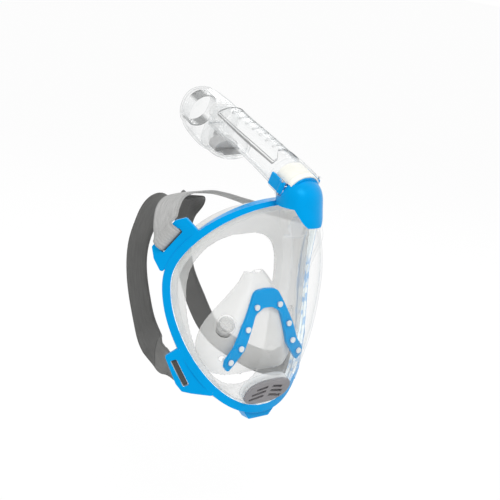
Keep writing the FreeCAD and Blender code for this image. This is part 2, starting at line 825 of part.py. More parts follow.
def stud_axis_solid(x, z, radius, y0, y1):
    body = Part.makeCylinder(radius, y1 - y0, V(x, y0, z), Y)
    return [body, mirrored(body)]


def inhale_frame():
    """Centre and outward axis of the right-hand inhale valve."""
    here = pocket_point(INHALE_Z, INHALE_AT)
    ahead = pocket_point(INHALE_Z, INHALE_AT + 0.05)
    behind = pocket_point(INHALE_Z, INHALE_AT - 0.05)
    slope = unit(ahead - behind)
    return here, unit(slope.cross(Z))


def make_nose_pocket():
    outer = pocket_solid(0.0, 0.0)
    inner = pocket_solid(POCKET_T, 4.0 * POCKET_T, 2.5 * POCKET_T)
    body = outer.cut(inner)
    for x, z in STUDS:
        for hole in stud_axis_solid(x, z, STUD_R + GAP, -REACH, POCKET_ROWS[0][3]):
            body = body.cut(hole)
    centre, axis = inhale_frame()
    hole = Part.makeCylinder(INHALE_R + GAP, 3.0 * INHALE_R, centre - axis * (1.5 * INHALE_R), axis)
    lip = INHALE_R + INHALE_LIP + GAP
    recess = Part.makeCylinder(lip, lip, centre + axis * (INHALE_LIP_AT - GAP), axis)
    hole = hole.fuse(recess)
    return single(body.cut(hole).cut(mirrored(hole)))


# ----------------------------------------------------------------- nose frame
def rib_sheet():
    """Slab that follows the nose frame's back profile, extruded across."""
    back = [V(-HALF_W, y, z) for z, y in RIB_BACK]
    front = [V(-HALF_W, y - RIB_T, z) for z, y in reversed(RIB_BACK)]
    first = Part.BSplineCurve()
    first.interpolate(back)
    second = Part.BSplineCurve()
    second.interpolate(front)
    wire = Part.Wire([
        first.toShape(),
        Part.makeLine(back[-1], front[0]),
        second.toShape(),
        Part.makeLine(front[-1], back[0]),
    ])
    return Part.Face(wire).extrude(X * (2.0 * HALF_W))


def make_nose_frame():
    right = Part.Face(rounded_half(RIB_OUTLINE, -REACH)).extrude(Y * (2.0 * REACH))
    body = both_sides(right).common(rib_sheet())
    for x, z in STUDS:
        for hole in stud_axis_solid(x, z, STUD_R + GAP, -REACH, REACH):
            body = body.cut(hole)
    return single(body)


def rounded_half(corners, y):
    """Closed wire through (x, z, radius) corners, sharp on the centre plane."""
    edges = []
    points = [V(x, y, z) for x, z, _ in corners]
    last = points[0]
    for i in range(1, len(points) - 1):
        here = points[i]
        back = unit(points[i - 1] - here)
        ahead = unit(points[i + 1] - here)
        half = back.getAngle(ahead) / 2.0
        radius = corners[i][2]
        cut = radius / math.tan(half)
        mid_dir = unit(back + ahead)
        start = here + back * cut
        end = here + ahead * cut
        edges.append(Part.makeLine(last, start))
        edges.append(Part.Arc(start, here + mid_dir * (radius / math.sin(half) - radius), end).toShape())
        last = end
    edges.append(Part.makeLine(last, points[-1]))
    edges.append(Part.makeLine(points[-1], points[0]))
    return Part.Wire(edges)


def make_pocket_studs():
    out = []
    for x, z in STUDS:
        front = row_value(RIB_BACK, z, 1) - RIB_T - STUD_STAND
        head = Part.makeCylinder(STUD_HEAD_R, STUD_HEAD_T, V(x, front - STUD_HEAD_T, z), Y)
        shank = Part.makeCylinder(STUD_R, STUD_L, V(x, front - STUD_HEAD_T, z), Y)
        body = head.fuse(shank).removeSplitter()
        out += [body, mirrored(body)]
    return Part.Compound(out)


# -------------------------------------------------------------- inhale valves
def make_inhale_seat():
    centre, axis = inhale_frame()
    body = Part.makeCylinder(INHALE_R, INHALE_BACK + INHALE_FRONT, centre - axis * INHALE_BACK, axis)
    lip = Part.makeCylinder(INHALE_R + INHALE_LIP, INHALE_LIP_T, centre + axis * INHALE_LIP_AT, axis)
    bore = Part.makeCylinder(INHALE_R - INHALE_WALL, 2.0 * INHALE_R, centre - axis * INHALE_R, axis)
    body = body.fuse(lip).cut(bore)
    half = INHALE_R - INHALE_WALL / 2.0
    place = FreeCAD.Placement(centre + axis * INHALE_BAR_AT, FreeCAD.Rotation(Z, axis))
    for turn in (0.0, 90.0):
        bar = Part.makeBox(2.0 * half, INHALE_BAR, INHALE_BAR, V(-half, -INHALE_BAR / 2.0, 0.0))
        bar.Placement = place.multiply(FreeCAD.Placement(V(0, 0, 0), FreeCAD.Rotation(Z, turn)))
        body = body.fuse(bar)
    return single(body.removeSplitter())


def make_inhale_flap():
    centre, axis = inhale_frame()
    return Part.makeCylinder(INHALE_R - FLAP_EDGE, FLAP_T, centre - axis * FLAP_AT, axis)


# ---------------------------------------------------------------- purge valve
def purge_axes():
    a = math.radians(PURGE_TILT)
    out = V(0, -math.cos(a), -math.sin(a))
    up = V(0, -math.sin(a), math.cos(a))
    return out, up


def purge_oval(a, b, depth):
    out, up = purge_axes()
    return oval(PURGE_C + out * depth, X, up, a, b, 0.82, 32)


def purge_prism(a, b, d0, d1):
    out, _ = purge_axes()
    return Part.Face(purge_oval(a, b, d0)).extrude(out * (d1 - d0))


def purge_place():
    """Placement whose X, Y and Z run across, up and out of the valve."""
    out, up = purge_axes()
    return FreeCAD.Placement(PURGE_C, FreeCAD.Rotation(X, up, out, "ZXY"))


def make_purge_seat():
    wall = purge_prism(PURGE_A, PURGE_B, PURGE_BACK, PURGE_FRONT)
    bore = purge_prism(PURGE_A - PURGE_WALL, PURGE_B - PURGE_WALL, -REACH, REACH)
    out, _ = purge_axes()
    back = PURGE_WEB_AT - PURGE_WEB_T
    web = purge_prism(PURGE_A - WELD, PURGE_B - WELD, back, PURGE_WEB_AT)
    web = web.cut(Part.makeCylinder(PURGE_HOLE_R, 2.0 * REACH, PURGE_C - out * REACH, out))
    half = PURGE_HOLE_R + WELD
    for turn in (0.0, 90.0):
        spoke = Part.makeBox(2.0 * half, PURGE_WEB_T, PURGE_WEB_T, V(-half, -PURGE_WEB_T / 2.0, back))
        turned = FreeCAD.Placement(V(0, 0, 0), FreeCAD.Rotation(Z, turn))
        spoke.Placement = purge_place().multiply(turned)
        web = web.fuse(spoke)
    return single(wall.cut(bore).fuse(web).removeSplitter())


def make_purge_diaphragm():
    out, _ = purge_axes()
    return Part.makeCylinder(PURGE_DISC_R, PURGE_DISC_T, PURGE_C + out * (PURGE_WEB_AT + GAP), out)


def make_purge_cover():
    back = PURGE_FRONT + GAP
    front = back + PURGE_COVER_T
    plate = purge_prism(PURGE_A, PURGE_B, back, front)
    body = plate.makeFillet(COVER_R, [e for e in plate.Edges if purge_depth(e) > front - GAP])
    inset = PURGE_WALL + GAP
    plug = purge_prism(PURGE_A - inset, PURGE_B - inset, back - PURGE_PLUG_L, back + COVER_R)
    body = body.fuse(plug).removeSplitter()
    for row, half in GRILLE_ROWS:
        for side in (-1.0, 1.0):
            slot = Part.makeBox(2.0 * half, GRILLE_SLOT, 2.0 * REACH, V(-half, -GRILLE_SLOT / 2.0, -REACH))
            turn = FreeCAD.Rotation(Z, -side * GRILLE_TILT)
            at = FreeCAD.Placement(V(side * (half + GRILLE_MID), row, 0), turn)
            slot.Placement = purge_place().multiply(at)
            body = body.cut(slot)
    return single(body.cut(rim_clearance(-BAND_W - GAP, BAND_W, -BAND_W, PURGE_A)))


def purge_depth(edge):
    out, _ = purge_axes()
    return (edge.CenterOfMass - PURGE_C).dot(out)


# --------------------------------------------------------------------- socket
def tube_axes():
    a = math.radians(TUBE_TILT)
    along = V(0, math.cos(a), math.sin(a))
    top = V(0, -math.sin(a), math.cos(a))
    return along, top


def tube_oval(s, a, b, off=0.0, power=OVAL_POW):
    along, top = tube_axes()
    return oval(TUBE_P0 + along * s + top * off, X, top, a, b, power)


def tube_prism(s0, s1, a, b, off=0.0, power=OVAL_POW):
    along, _ = tube_axes()
    return Part.Face(tube_oval(s0, a, b, off, power)).extrude(along * (s1 - s0))


def collar_envelope():
    """Room that the collar, its latches and their ears need above the socket."""
    a = TUBE_A + COLLAR_T + 2.0 * GAP
    b = TUBE_B + COLLAR_T + 2.0 * GAP
    half = LATCH_W / 2.0 + EAR_T + 2.0 * GAP
    ring = tube_prism(COLLAR_START - GAP, COLLAR_START + REACH, a, b)
    side = local_box(-half, LATCH_START - GAP, 2.0 * half, REACH, EAR_ROOT_X, REACH)
    return ring.fuse(side).fuse(mirrored(side))


def dome(inset):
    """The socket's outside, before its lower edge is cut to shape."""
    axis = lean_axis()
    a = SOCKET_A - inset
    b = SOCKET_B - inset
    steps = (-inset, DOME_UP / 3.0, DOME_UP / 1.5, DOME_UP)
    wires = [oval(SOCKET_LOW + axis * s, X, Y, a, b) for s in steps]
    for degrees in DOME_ANGLES:
        rise = math.radians(degrees)
        centre = SOCKET_LOW + axis * (DOME_UP + (DOME_H - inset) * math.sin(rise))
        wires.append(oval(centre, X, Y, a * math.cos(rise), b * math.cos(rise)))
    return solid_loft(wires)


def make_snorkel_socket():
    outer = dome(0.0).common(socket_edge(0.0)).cut(collar_envelope())
    outer = outer.fuse(tube_prism(NECK_START, NECK_END, NECK_A, NECK_B))
    bore = tube_prism(NECK_START - NECK_T, NECK_END + NECK_T, NECK_A - NECK_T, NECK_B - NECK_T)
    body = outer.cut(dome(SOCKET_T)).cut(bore)
    lens_room = outline_prism(LENS_EDGE - GAP, LENS_FRONT, LENS_BACK).common(height_solid(-GAP))
    ring_room = rim_clearance(-REACH, GAP, -GAP, REACH)
    return single(body.cut(lens_room).cut(ring_room))


# ------------------------------------------------------- collar and latches
def make_neck_gasket():
    outer = tube_prism(GASKET_START, TUBE_START - GAP, TUBE_A - GAP, TUBE_B - GAP)
    inner = tube_prism(GASKET_START - 1.0, TUBE_START + 1.0, NECK_A + GAP, NECK_B + GAP)
    return single(outer.cut(inner).cut(dome(-GAP)))


def make_tube_collar():
    a = TUBE_A + GAP
    b = TUBE_B + GAP
    ring = tube_prism(COLLAR_START, COLLAR_END, a + COLLAR_T, b + COLLAR_T)
    ring = ring.makeFillet(COLLAR_EDGE_R, long_edges(ring))
    for ear in latch_ears():
        ring = ring.fuse(ear).fuse(mirrored(ear))
    ring = ring.cut(tube_prism(COLLAR_START - COLLAR_T, COLLAR_END + COLLAR_T, a, b))
    n0 = -LATCH_W / 2.0 - GAP
    window = local_box(n0, LATCH_HOOK_S - WINDOW_DROP, -2.0 * n0, WINDOW_L, TUBE_B, NECK_B)
    recess = local_box(n0, COLLAR_START - 1.0, -2.0 * n0, TAIL_L + 1.0, a + COLLAR_SKIN, NECK_B)
    for tool in (window, recess):
        ring = ring.cut(tool).cut(mirrored(tool))
    return single(ring)


def long_edges(body):
    """Edges that run round a tube, not its short seams."""
    return [e for e in body.Edges if e.Length > 2.0 * TUBE_A]


def local_box(n0, s0, dn, ds, x0, dx):
    """Box in tube axes: n across the tube's depth, s along it, x sideways."""
    along, top = tube_axes()
    box = Part.makeBox(dx, dn, ds, V(x0, n0, s0))
    matrix = FreeCAD.Matrix(
        1, 0, 0, TUBE_P0.x,
        0, top.y, along.y, TUBE_P0.y,
        0, top.z, along.z, TUBE_P0.z,
        0, 0, 0, 1)
    return box.transformGeometry(matrix)


def tube_place(x, n, s):
    along, top = tube_axes()
    return TUBE_P0 + X * x + top * n + along * s


def make_latch():
    x0 = TUBE_A + GAP + COLLAR_T + GAP
    plate = local_box(-LATCH_W / 2.0, LATCH_START, LATCH_W, LATCH_END - LATCH_START, x0, LATCH_T)
    plate = plate.makeFillet(LATCH_R, plate.Edges)
    inner_w = LATCH_W - 2.0 * LATCH_IN
    hook_s = LATCH_HOOK_S - HOOK_L / 2.0
    hook = local_box(-inner_w / 2.0, hook_s, inner_w, HOOK_L, x0 - HOOK_REACH, HOOK_REACH + GAP)
    boss = pin_rod(PIN_R + BOSS_WALL, inner_w)
    return single(plate.fuse(hook).fuse(boss).cut(pin_rod(PIN_R + RUN, REACH)))


def pin_rod(radius, length):
    _, top = tube_axes()
    base = tube_place(LATCH_PIN_X, -length / 2.0, LATCH_PIN_S)
    return Part.makeCylinder(radius, length, base, top)


def make_latch_pin():
    return pin_rod(PIN_R, LATCH_W + 2.0 * EAR_T + 2.0 * GAP)


def latch_ears():
    """Two ears on the collar that carry one latch pin."""
    out = []
    width = LATCH_PIN_X + EAR_TOP - EAR_ROOT_X
    for n0 in (LATCH_W / 2.0 + GAP, -LATCH_W / 2.0 - GAP - EAR_T):
        ear = local_box(n0, LATCH_PIN_S - EAR_HALF_L, EAR_T, 2.0 * EAR_HALF_L, EAR_ROOT_X, width)
        out.append(ear.cut(pin_rod(PIN_R + RUN, REACH)))
    return out


# ----------------------------------------------------------------------- tube
def row_loft(rows, inset, power=OVAL_POW):
    """Loft through tube ovals given as (place along, half width, half depth, off the axis)."""
    return solid_loft([tube_oval(at, a - inset, b - inset, off, power) for at, a, b, off in rows])


def tube_outer(inset):
    """Air tube: an oval that narrows, then widens under the cap."""
    return row_loft(TUBE_ROWS, inset)


def chamber(inset, start):
    """Float chamber hung below the tube, rounded at its lower end."""
    rows = [(start + at, a, b, off) for at, a, b, off in CHAMBER_ROWS]
    return row_loft(rows + [(TUBE_END,) + CHAMBER_TOP], inset, CHAMBER_POW)


def chamber_windows():
    """Three drain windows near the chamber's lower end, cut from below."""
    below = DRAIN_N - GAP - CHAMBER_B
    return [local_box(below, DRAIN_WINDOW_S, CHAMBER_B, DRAIN_WINDOW_L, x0, w) for x0, w in DRAIN_WINDOWS]


def make_tube_body():
    outer = tube_outer(0.0).fuse(chamber(0.0, CHAMBER_START))
    room = chamber(TUBE_T, CHAMBER_START + TUBE_T).cut(tube_outer(-TUBE_SKIN))
    top_a = TUBE_TOP_A - TUBE_T
    ends = (
        tube_prism(TUBE_START - TUBE_T, TUBE_START + 1.0, TUBE_A - TUBE_T, TUBE_B - TUBE_T),
        tube_prism(TUBE_END - 1.0, TUBE_END + TUBE_T, top_a, TUBE_TOP_B - TUBE_T, TUBE_TOP_OFF),
    )
    body = outer.cut(tube_outer(TUBE_T)).cut(room)
    for tool in ends + tuple(chamber_windows()):
        body = body.cut(tool)
    return single(body)


def panel_outline(inset):
    """Raised panel on the front of the tube, notched at its foot, in tube axes."""
    half = PANEL_HALF_W - inset
    foot_half = PANEL_HALF_W - PANEL_LEG_W
    notch_half = PANEL_NOTCH_HALF_W - inset
    end = TUBE_END - PANEL_END - inset
    foot = COLLAR_END + PANEL_FOOT + inset
    notch = COLLAR_END + PANEL_FOOT + PANEL_NOTCH_L
    right = ((half, end), (half, foot), (foot_half, foot), (notch_half, notch + inset))
    left = [(-x, at) for x, at in reversed(right)]
    return right + tuple(left)


def tube_front_shell(lift0, lift1):
    """Skin that follows the tube's outside between two heights."""
    return tube_outer(-lift1).cut(tube_outer(-lift0))


def panel_prism(points, radius):
    _, top = tube_axes()
    wire = rounded([tube_place(x, PANEL_FROM, s) for x, s in points], radius)
    return Part.Face(wire).extrude(top * TUBE_A)


def panel_bar(at):
    """One slanted bar across the panel."""
    half = PANEL_BAR_HALF_W
    corners = ((-half, at), (half, at + PANEL_BAR_RISE),
               (half, at + PANEL_BAR_RISE + PANEL_BAR_T), (-half, at + PANEL_BAR_T))
    return panel_prism(corners, PANEL_BAR_T / 4.0)


def make_tube_panel():
    """Thin plate with a raised border and raised slanted bars."""
    whole = panel_prism(panel_outline(0.0), PANEL_R)
    plate = tube_front_shell(GAP, GAP + PANEL_T).common(whole)
    raised = whole.cut(panel_prism(panel_outline(PANEL_BORDER_W), PANEL_R))
    for i in range(PANEL_RIBS):
        raised = raised.fuse(panel_bar(COLLAR_END + PANEL_BAR_FROM + PANEL_RIB_PITCH * i))
    border = tube_front_shell(GAP, GAP + PANEL_RAISED_T).common(raised)
    return single(plate.fuse(border))


# ------------------------------------------------------------------------ cap
def cap_shape(inset):
    wires = [tube_oval(at, a - inset, b - inset, off, CAP_POW) for at, a, b, off in CAP_ROWS]
    wires.append(tube_oval(CAP_END - inset, CAP_TOP_A - inset, CAP_TOP_B - inset, CAP_TOP_OFF, CAP_POW))
    return solid_loft(wires)


def cap_room(s0, s1, inset):
    """Prism inside the cap's lower end."""
    _, a, b, off = CAP_ROWS[0]
    return tube_prism(s0, s1, a - inset, b - inset, off, CAP_POW)


def make_top_cap():
    body = cap_shape(0.0).cut(cap_shape(CAP_T)).cut(cap_room(TUBE_END - CAP_T, TUBE_END + CAP_T, CAP_T))
    for slot in cap_slots():
        body = body.cut(slot)
    return single(body)


def cap_slots():
    """Air slots round the cap's shoulder, with ribs left between them."""
    ring = tube_prism(CAP_END - SLOT_FROM, CAP_END - SLOT_TO, REACH, REACH, CAP_OFF)
    low = CAP_END - REACH
    side = CAP_OFF - SLOT_SIDE_RIB / 2.0
    ribs = (
        local_box(INLET_A, low, REACH, REACH, -SLOT_RIB / 2.0, SLOT_RIB),
        local_box(CAP_OFF - INLET_A - REACH, low, REACH, REACH, -SLOT_RIB / 2.0, SLOT_RIB),
        local_box(side, low, SLOT_SIDE_RIB, REACH, SLOT_RIB, REACH),
        local_box(side, low, SLOT_SIDE_RIB, REACH, -SLOT_RIB - REACH, REACH),
    )
    for rib in ribs:
        ring = ring.cut(rib)
    return ring.Solids


def make_cap_band():
    """Dark inner band that stands behind the cap's slots."""
    s0 = CAP_END - CAP_BAND_FROM
    s1 = CAP_END - CAP_BAND_TO
    outer = tube_prism(s0, s1, CAP_BAND_A, CAP_BAND_B, CAP_OFF, CAP_POW)
    a = CAP_BAND_A - CAP_BAND_T
    b = CAP_BAND_B - CAP_BAND_T
    inner = tube_prism(s0 - 1.0, s1 + 1.0, a, b, CAP_OFF, CAP_POW)
    return single(outer.cut(inner))


# ------------------------------------------------- float valve under the cap
def make_inlet_deck():
    """Deck across the tube's upper end with the air inlet and the float's bore."""
    s0 = TUBE_END + GAP
    top = s0 + DECK_T
    plate = cap_room(s0, top, CAP_T + GAP)
    inlet = tube_prism(s0 - DECK_T, top + REACH, INLET_A, INLET_B, INLET_OFF)
    half = FLOAT_HOLE / 2.0
    float_hole = local_box(FLOAT_HOLE_OFF - half, s0 - DECK_T, FLOAT_HOLE, REACH, -half, FLOAT_HOLE)
    seat = tube_prism(top - WELD, top + DECK_SEAT_H, INLET_A + DECK_LIP, INLET_B + DECK_LIP, INLET_OFF)
    body = plate.fuse(seat).cut(inlet).cut(float_hole)
    height = LEVER_S + POST_TOP - top
    for x0 in (-LEVER_HALF - GAP - POST_T, LEVER_HALF + GAP):
        body = body.fuse(local_box(LEVER_N - POST_W / 2.0, top - WELD, POST_W, height, x0, POST_T))
    return single(body.cut(lever_rod(PIN_R + RUN, REACH)))


def lever_rod(radius, length):
    return Part.makeCylinder(radius, length, tube_place(-length / 2.0, LEVER_N, LEVER_S), X)


def lever_turn(shape):
    out = shape.copy()
    out.rotate(tube_place(0, LEVER_N, LEVER_S), X, LEVER_OPEN)
    return out


def make_float_lever():
    """Rocker: one arm carries the inlet seal, the other rests over the float."""
    half = LEVER_HALF - LEVER_IN
    back = LEVER_N - LEVER_ARM
    length = LEVER_ARM + LEVER_FRONT
    arm = local_box(back, LEVER_S - LEVER_T / 2.0, length, LEVER_T, -half, 2.0 * half)
    end = tube_place(-LEVER_HALF, LEVER_N, LEVER_S)
    hub = Part.makeCylinder(PIN_R + HUB_WALL, 2.0 * LEVER_HALF, end, X)
    body = lever_turn(arm).fuse(hub).cut(lever_rod(PIN_R + RUN, REACH))
    return single(body.removeSplitter())


def make_inlet_seal():
    top = LEVER_S - LEVER_T / 2.0 - GAP
    a = INLET_A + SEAL_PAD_A
    b = INLET_B + SEAL_PAD_B
    return lever_turn(tube_prism(top - SEAL_PAD_T, top, a, b, INLET_OFF))


def make_lever_pin():
    return lever_rod(PIN_R, 2.0 * LEVER_HALF + 2.0 * GAP + PIN_OVER)


def make_float():
    top = FLOAT_START + FLOAT_LEN
    block = tube_prism(FLOAT_START, top, FLOAT_A, FLOAT_B, FLOAT_OFF, CHAMBER_POW)
    block = block.makeFillet(FLOAT_R, long_edges(block))
    half = FLOAT_POST_W / 2.0
    post = local_box(FLOAT_HOLE_OFF - half, top - 1.0, FLOAT_POST_W, FLOAT_POST + 1.0, -half, FLOAT_POST_W)
    return single(block.fuse(post))


def make_drain_flap():
    """Thin silicone leaf that hangs inside the drain windows."""
    return local_box(DRAIN_N, DRAIN_S, DRAIN_T, DRAIN_LEN, -DRAIN_HALF_W, 2.0 * DRAIN_HALF_W)


def make_drain_rail():
    """Bar across the chamber that the drain leaf hangs from."""
    s0 = DRAIN_S + DRAIN_LEN + GAP
    return local_box(DRAIN_N - RAIL_IN, s0, RAIL_T, RAIL_T, -RAIL_HALF_W, 2.0 * RAIL_HALF_W)


# --------------------------------------------------------------------- straps
def smooth_path(rows, count):
    """Centres and width directions from the lug to the middle of the loop."""
    loop_rows = list(rows) + flip_rows(reversed(rows[:-1]))
    curve = Part.BSplineCurve()
    centres = [V(*row[0]) for row in loop_rows]
    widths = [V(*row[1]) for row in loop_rows]
    for i in range(len(rows), len(widths)):
        widths[i] = widths[i] * -1.0
    curve.interpolate(centres)
    knots = [curve.parameter(c) for c in centres]
    last = len(rows) - 1
    out = []
    for i in range(count):
        u = lerp(knots[0], knots[last], i / (count - 1.0))
        k = 0
        while k < last - 1 and u > knots[k + 1]:
            k += 1
        f = (u - knots[k]) / (knots[k + 1] - knots[k])
        width = unit(lerp_v(widths[k], widths[k + 1], f))
        point = curve.value(u)
        along = unit(curve.tangent(u)[0])
        if i == count - 1:
            point = V(0, point.y, point.z)
            along = X
        out.append((point, along, width))
    return out


def ribbon(samples):
    wires = []
    for centre, along, width in samples:
        across = unit(width - along * width.dot(along))
        side = across * (STRAP_W / 2.0)
        face = unit(along.cross(across)) * (STRAP_T / 2.0)
        front = (centre + side + face, centre - side + face)
        wires.append(polygon(front + (centre - side - face, centre + side - face)))
    return solid_loft(wires, ruled=True)


def lug_row(t, u, v, s=0.0, slant=0.0):
    """Strap row at a lug: centre and width direction."""
    here, out, deep = rim_axes(t)
    along = up_rim(out, deep)
    return (here + along * s + out * u + deep * v, unit(along + out * slant))


def flip_rows(rows):
    return [((-p[0], p[1], p[2]), (-w[0], w[1], w[2])) for p, w in rows]


def make_strap_lower():
    """Comes up behind the lower lug and ends in its slot."""
    ends = [lug_row(LOWER_LUG_T, u, v, s, LOWER_SLANT) for u, v, s in LOWER_ENDS]
    rows = flip_rows(ends) + list(STRAP_LOWER)
    return both_sides(ribbon(smooth_path(rows, STRAP_STEPS)))


def make_strap_upper():
    """Comes over the upper lug's outer bar and goes back through its slot."""
    ends = [lug_row(UPPER_LUG_T, u, v) for u, v in UPPER_ENDS]
    rows = flip_rows(ends) + list(STRAP_UPPER)
    return both_sides(ribbon(smooth_path(rows, STRAP_STEPS)))


# --------------------------------------------------------------- duct divider
def make_duct_divider():
    """Hexagonal wall between the inhale and exhale passages of the duct."""
    corners = ((-1.0, 0.0), (-0.5, -1.0), (0.5, -1.0), (1.0, 0.0), (0.5, 1.0), (-0.5, 1.0))
    points = [V(DIVIDER_HALF_W * x, DIVIDER_Y, DIVIDER_Z + DIVIDER_HALF_H * z) for x, z in corners]
    wire = rounded(points, DIVIDER_R)
    plate = Part.Face(wire).extrude(Y * DIVIDER_T)
    low = V(-DIVIDER_REACH, DIVIDER_Y, DIVIDER_Z - DIVIDER_BAR_DROP)
    bar = Part.makeBox(2.0 * DIVIDER_REACH, DIVIDER_T, DIVIDER_BAR_H, low)
    return plate.fuse(bar).removeSplitter()


# --------------------------------------------------------------------- export
def export(name, shape):
    """Write one node, moved so that the middle of the face seal is the origin."""
    out = shape.copy()
    out.translate(V(0.0, -SEAL_SIDE_Y, 0.0))
    out.exportStep("parts/%s.step" % name)


def main():
    os.makedirs("parts", exist_ok=True)
    single_nodes = {
        "frame_ring": make_frame_ring,
        "lens": make_lens,
        "face_skirt": make_face_skirt,
        "nose_pocket": make_nose_pocket,
        "nose_frame": make_nose_frame,
        "pocket_studs": make_pocket_studs,
        "purge_seat": make_purge_seat,
        "purge_diaphragm": make_purge_diaphragm,
        "purge_cover": make_purge_cover,
        "snorkel_socket": make_snorkel_socket,
        "duct_divider": make_duct_divider,
        "neck_gasket": make_neck_gasket,
        "tube_collar": make_tube_collar,
        "tube_body": make_tube_body,
        "tube_panel": make_tube_panel,
        "top_cap": make_top_cap,
        "cap_band": make_cap_band,
        "inlet_deck": make_inlet_deck,
        "float_lever": make_float_lever,
        "inlet_seal": make_inlet_seal,
        "lever_pin": make_lever_pin,
        "float": make_float,
        "drain_flap": make_drain_flap,
        "drain_rail": make_drain_rail,
        "strap_lower": make_strap_lower,
        "strap_upper": make_strap_upper,
    }
    side_nodes = {
        "inhale_seat": make_inhale_seat,
        "inhale_flap": make_inhale_flap,
        "latch": make_latch,
    }
    for name, build in single_nodes.items():
        export(name, build())
    for name, build in side_nodes.items():
        shape = build()
        export(name + "_right", shape)
        export(name + "_left", mirrored(shape))
    export("latch_pins", pair(make_latch_pin()))


if __name__ == "__main__":
    main()
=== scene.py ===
import math

import bmesh
import bpy
import numpy as np
from bpy.props import FloatProperty, FloatVectorProperty, PointerProperty
from mathutils import Matrix, Vector


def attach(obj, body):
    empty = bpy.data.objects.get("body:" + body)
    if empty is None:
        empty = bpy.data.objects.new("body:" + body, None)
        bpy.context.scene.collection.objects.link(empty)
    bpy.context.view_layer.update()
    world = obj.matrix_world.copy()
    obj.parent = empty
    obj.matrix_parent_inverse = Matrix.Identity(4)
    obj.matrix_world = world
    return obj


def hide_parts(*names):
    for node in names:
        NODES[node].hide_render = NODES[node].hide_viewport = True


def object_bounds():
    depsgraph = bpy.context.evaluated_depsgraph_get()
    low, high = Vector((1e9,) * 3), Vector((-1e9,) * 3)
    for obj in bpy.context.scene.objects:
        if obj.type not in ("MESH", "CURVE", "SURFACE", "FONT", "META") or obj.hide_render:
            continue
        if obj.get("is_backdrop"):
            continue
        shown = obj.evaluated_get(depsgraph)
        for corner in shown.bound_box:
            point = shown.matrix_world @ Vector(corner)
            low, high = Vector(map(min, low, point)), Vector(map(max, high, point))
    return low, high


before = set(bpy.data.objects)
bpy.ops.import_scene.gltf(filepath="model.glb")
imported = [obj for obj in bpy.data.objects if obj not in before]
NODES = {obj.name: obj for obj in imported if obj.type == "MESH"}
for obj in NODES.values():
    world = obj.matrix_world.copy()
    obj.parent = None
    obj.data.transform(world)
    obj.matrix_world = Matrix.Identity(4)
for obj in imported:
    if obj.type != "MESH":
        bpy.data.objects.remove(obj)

bl_info = {
    "name": "Full-face swimming mask",
    "version": (1, 0, 0),
    "blender": (4, 5, 0),
    "location": "3D View > Sidebar > Mask",
    "description": "Dresses the mask's frame with its silicone, elastic, clear plastic and moulded finishes",
    "category": "Object",
}


# ------------------------------------------------------------------ properties
def colour_property(name, description, default):
    return FloatVectorProperty(name=name, description=description, default=default, size=3,
                               min=0.0, max=1.0, subtype="COLOR")


class MASK_PG_rim(bpy.types.PropertyGroup):
    """Blue mouldings: rim, socket, latches and nose frame"""
    colour: colour_property("Rim colour", "Colour of the rim, socket and latches", (0.0, 0.325, 0.745))
    nose_colour: colour_property("Nose frame colour", "Colour of the frame on the nose pocket",
                                 (0.0, 0.31, 0.70))
    shine: colour_property("Shine", "Colour of the highlights on the blue mouldings", (0.05, 0.55, 0.9))
    lining: colour_property("Lining", "Colour of the silicone that lines the rim's inner wall",
                            (0.95, 0.98, 0.97))
    # painted light: the lining's glow is emission that stands in for light reaching the rim's inner wall
    glow: FloatProperty(name="Painted lining glow",
                        description="Light that the clear silicone guides to the lining",
                        default=0.22, min=0.0)
    grain: FloatProperty(name="Grain", description="Depth of the moulded grain",
                         default=0.00004, min=0.0, unit="LENGTH")


class MASK_PG_window(bpy.types.PropertyGroup):
    """Clear mouldings: window, tube, collar, panel and cap"""
    tint: colour_property("Clear tint", "Colour of the clear plastic where it is seen face on",
                          (0.86, 0.88, 0.88))
    edge: colour_property("Edge tint", "Colour of the clear plastic where it is seen edge on",
                          (0.22, 0.25, 0.27))
    body: FloatProperty(name="Body", description="How much of the tint shows face on",
                        default=0.008, min=0.0, max=1.0, subtype="FACTOR")
    tube_body: FloatProperty(name="Tube body", description="The same for the thicker tube",
                             default=0.05, min=0.0, max=1.0, subtype="FACTOR")


class MASK_PG_silicone(bpy.types.PropertyGroup):
    """Soft mouldings: skirt, nose pocket, gasket and leaves"""
    colour: colour_property("Silicone colour", "Colour of the milky silicone", (0.80, 0.80, 0.785))
    density: FloatProperty(name="Density", description="How much the silicone hides what is behind it",
                           default=0.42, min=0.0, max=1.0, subtype="FACTOR")
    voxel: FloatProperty(name="Voxel", description="Mesh size of the soft pieces",
                         default=0.0011, min=0.0005, max=0.005, unit="LENGTH")


class MASK_PG_strap(bpy.types.PropertyGroup):
    """Elastic bands"""
    dark: colour_property("Dark elastic", "Colour of the lower band", (0.125, 0.125, 0.12))
    light: colour_property("Light elastic", "Colour of the upper band", (0.55, 0.55, 0.54))
    width: FloatProperty(name="Width", description="Width of both bands",
                         default=0.025, min=0.01, max=0.04, unit="LENGTH")
    thickness: FloatProperty(name="Thickness", description="Thickness of both bands",
                             default=0.0018, min=0.0008, max=0.004, unit="LENGTH")
    pitch: FloatProperty(name="Rib pitch", description="Distance between the woven ribs",
                         default=0.0011, min=0.0004, max=0.004, unit="LENGTH")


class MASK_PG_stage(bpy.types.PropertyGroup):
    """Floor, lights and camera"""
    floor_drop: FloatProperty(name="Floor drop", description="Floor below the mask's lowest point",
                              default=0.16, min=0.0, unit="LENGTH")
    key: FloatProperty(name="Key lamp", description="Power of the large lamp at the upper left",
                       default=9.0, min=0.0, unit="POWER")
    rim: FloatProperty(name="Back lamp", description="Power of the lamp behind the mask",
                       default=4.0, min=0.0, unit="POWER")
    ambient: FloatProperty(name="Ambient", description="Strength of the even light from all round",
                           default=0.72, min=0.0)
    lens: FloatProperty(name="Focal length", description="Focal length in millimetres",
                        default=102.96, min=10.0)


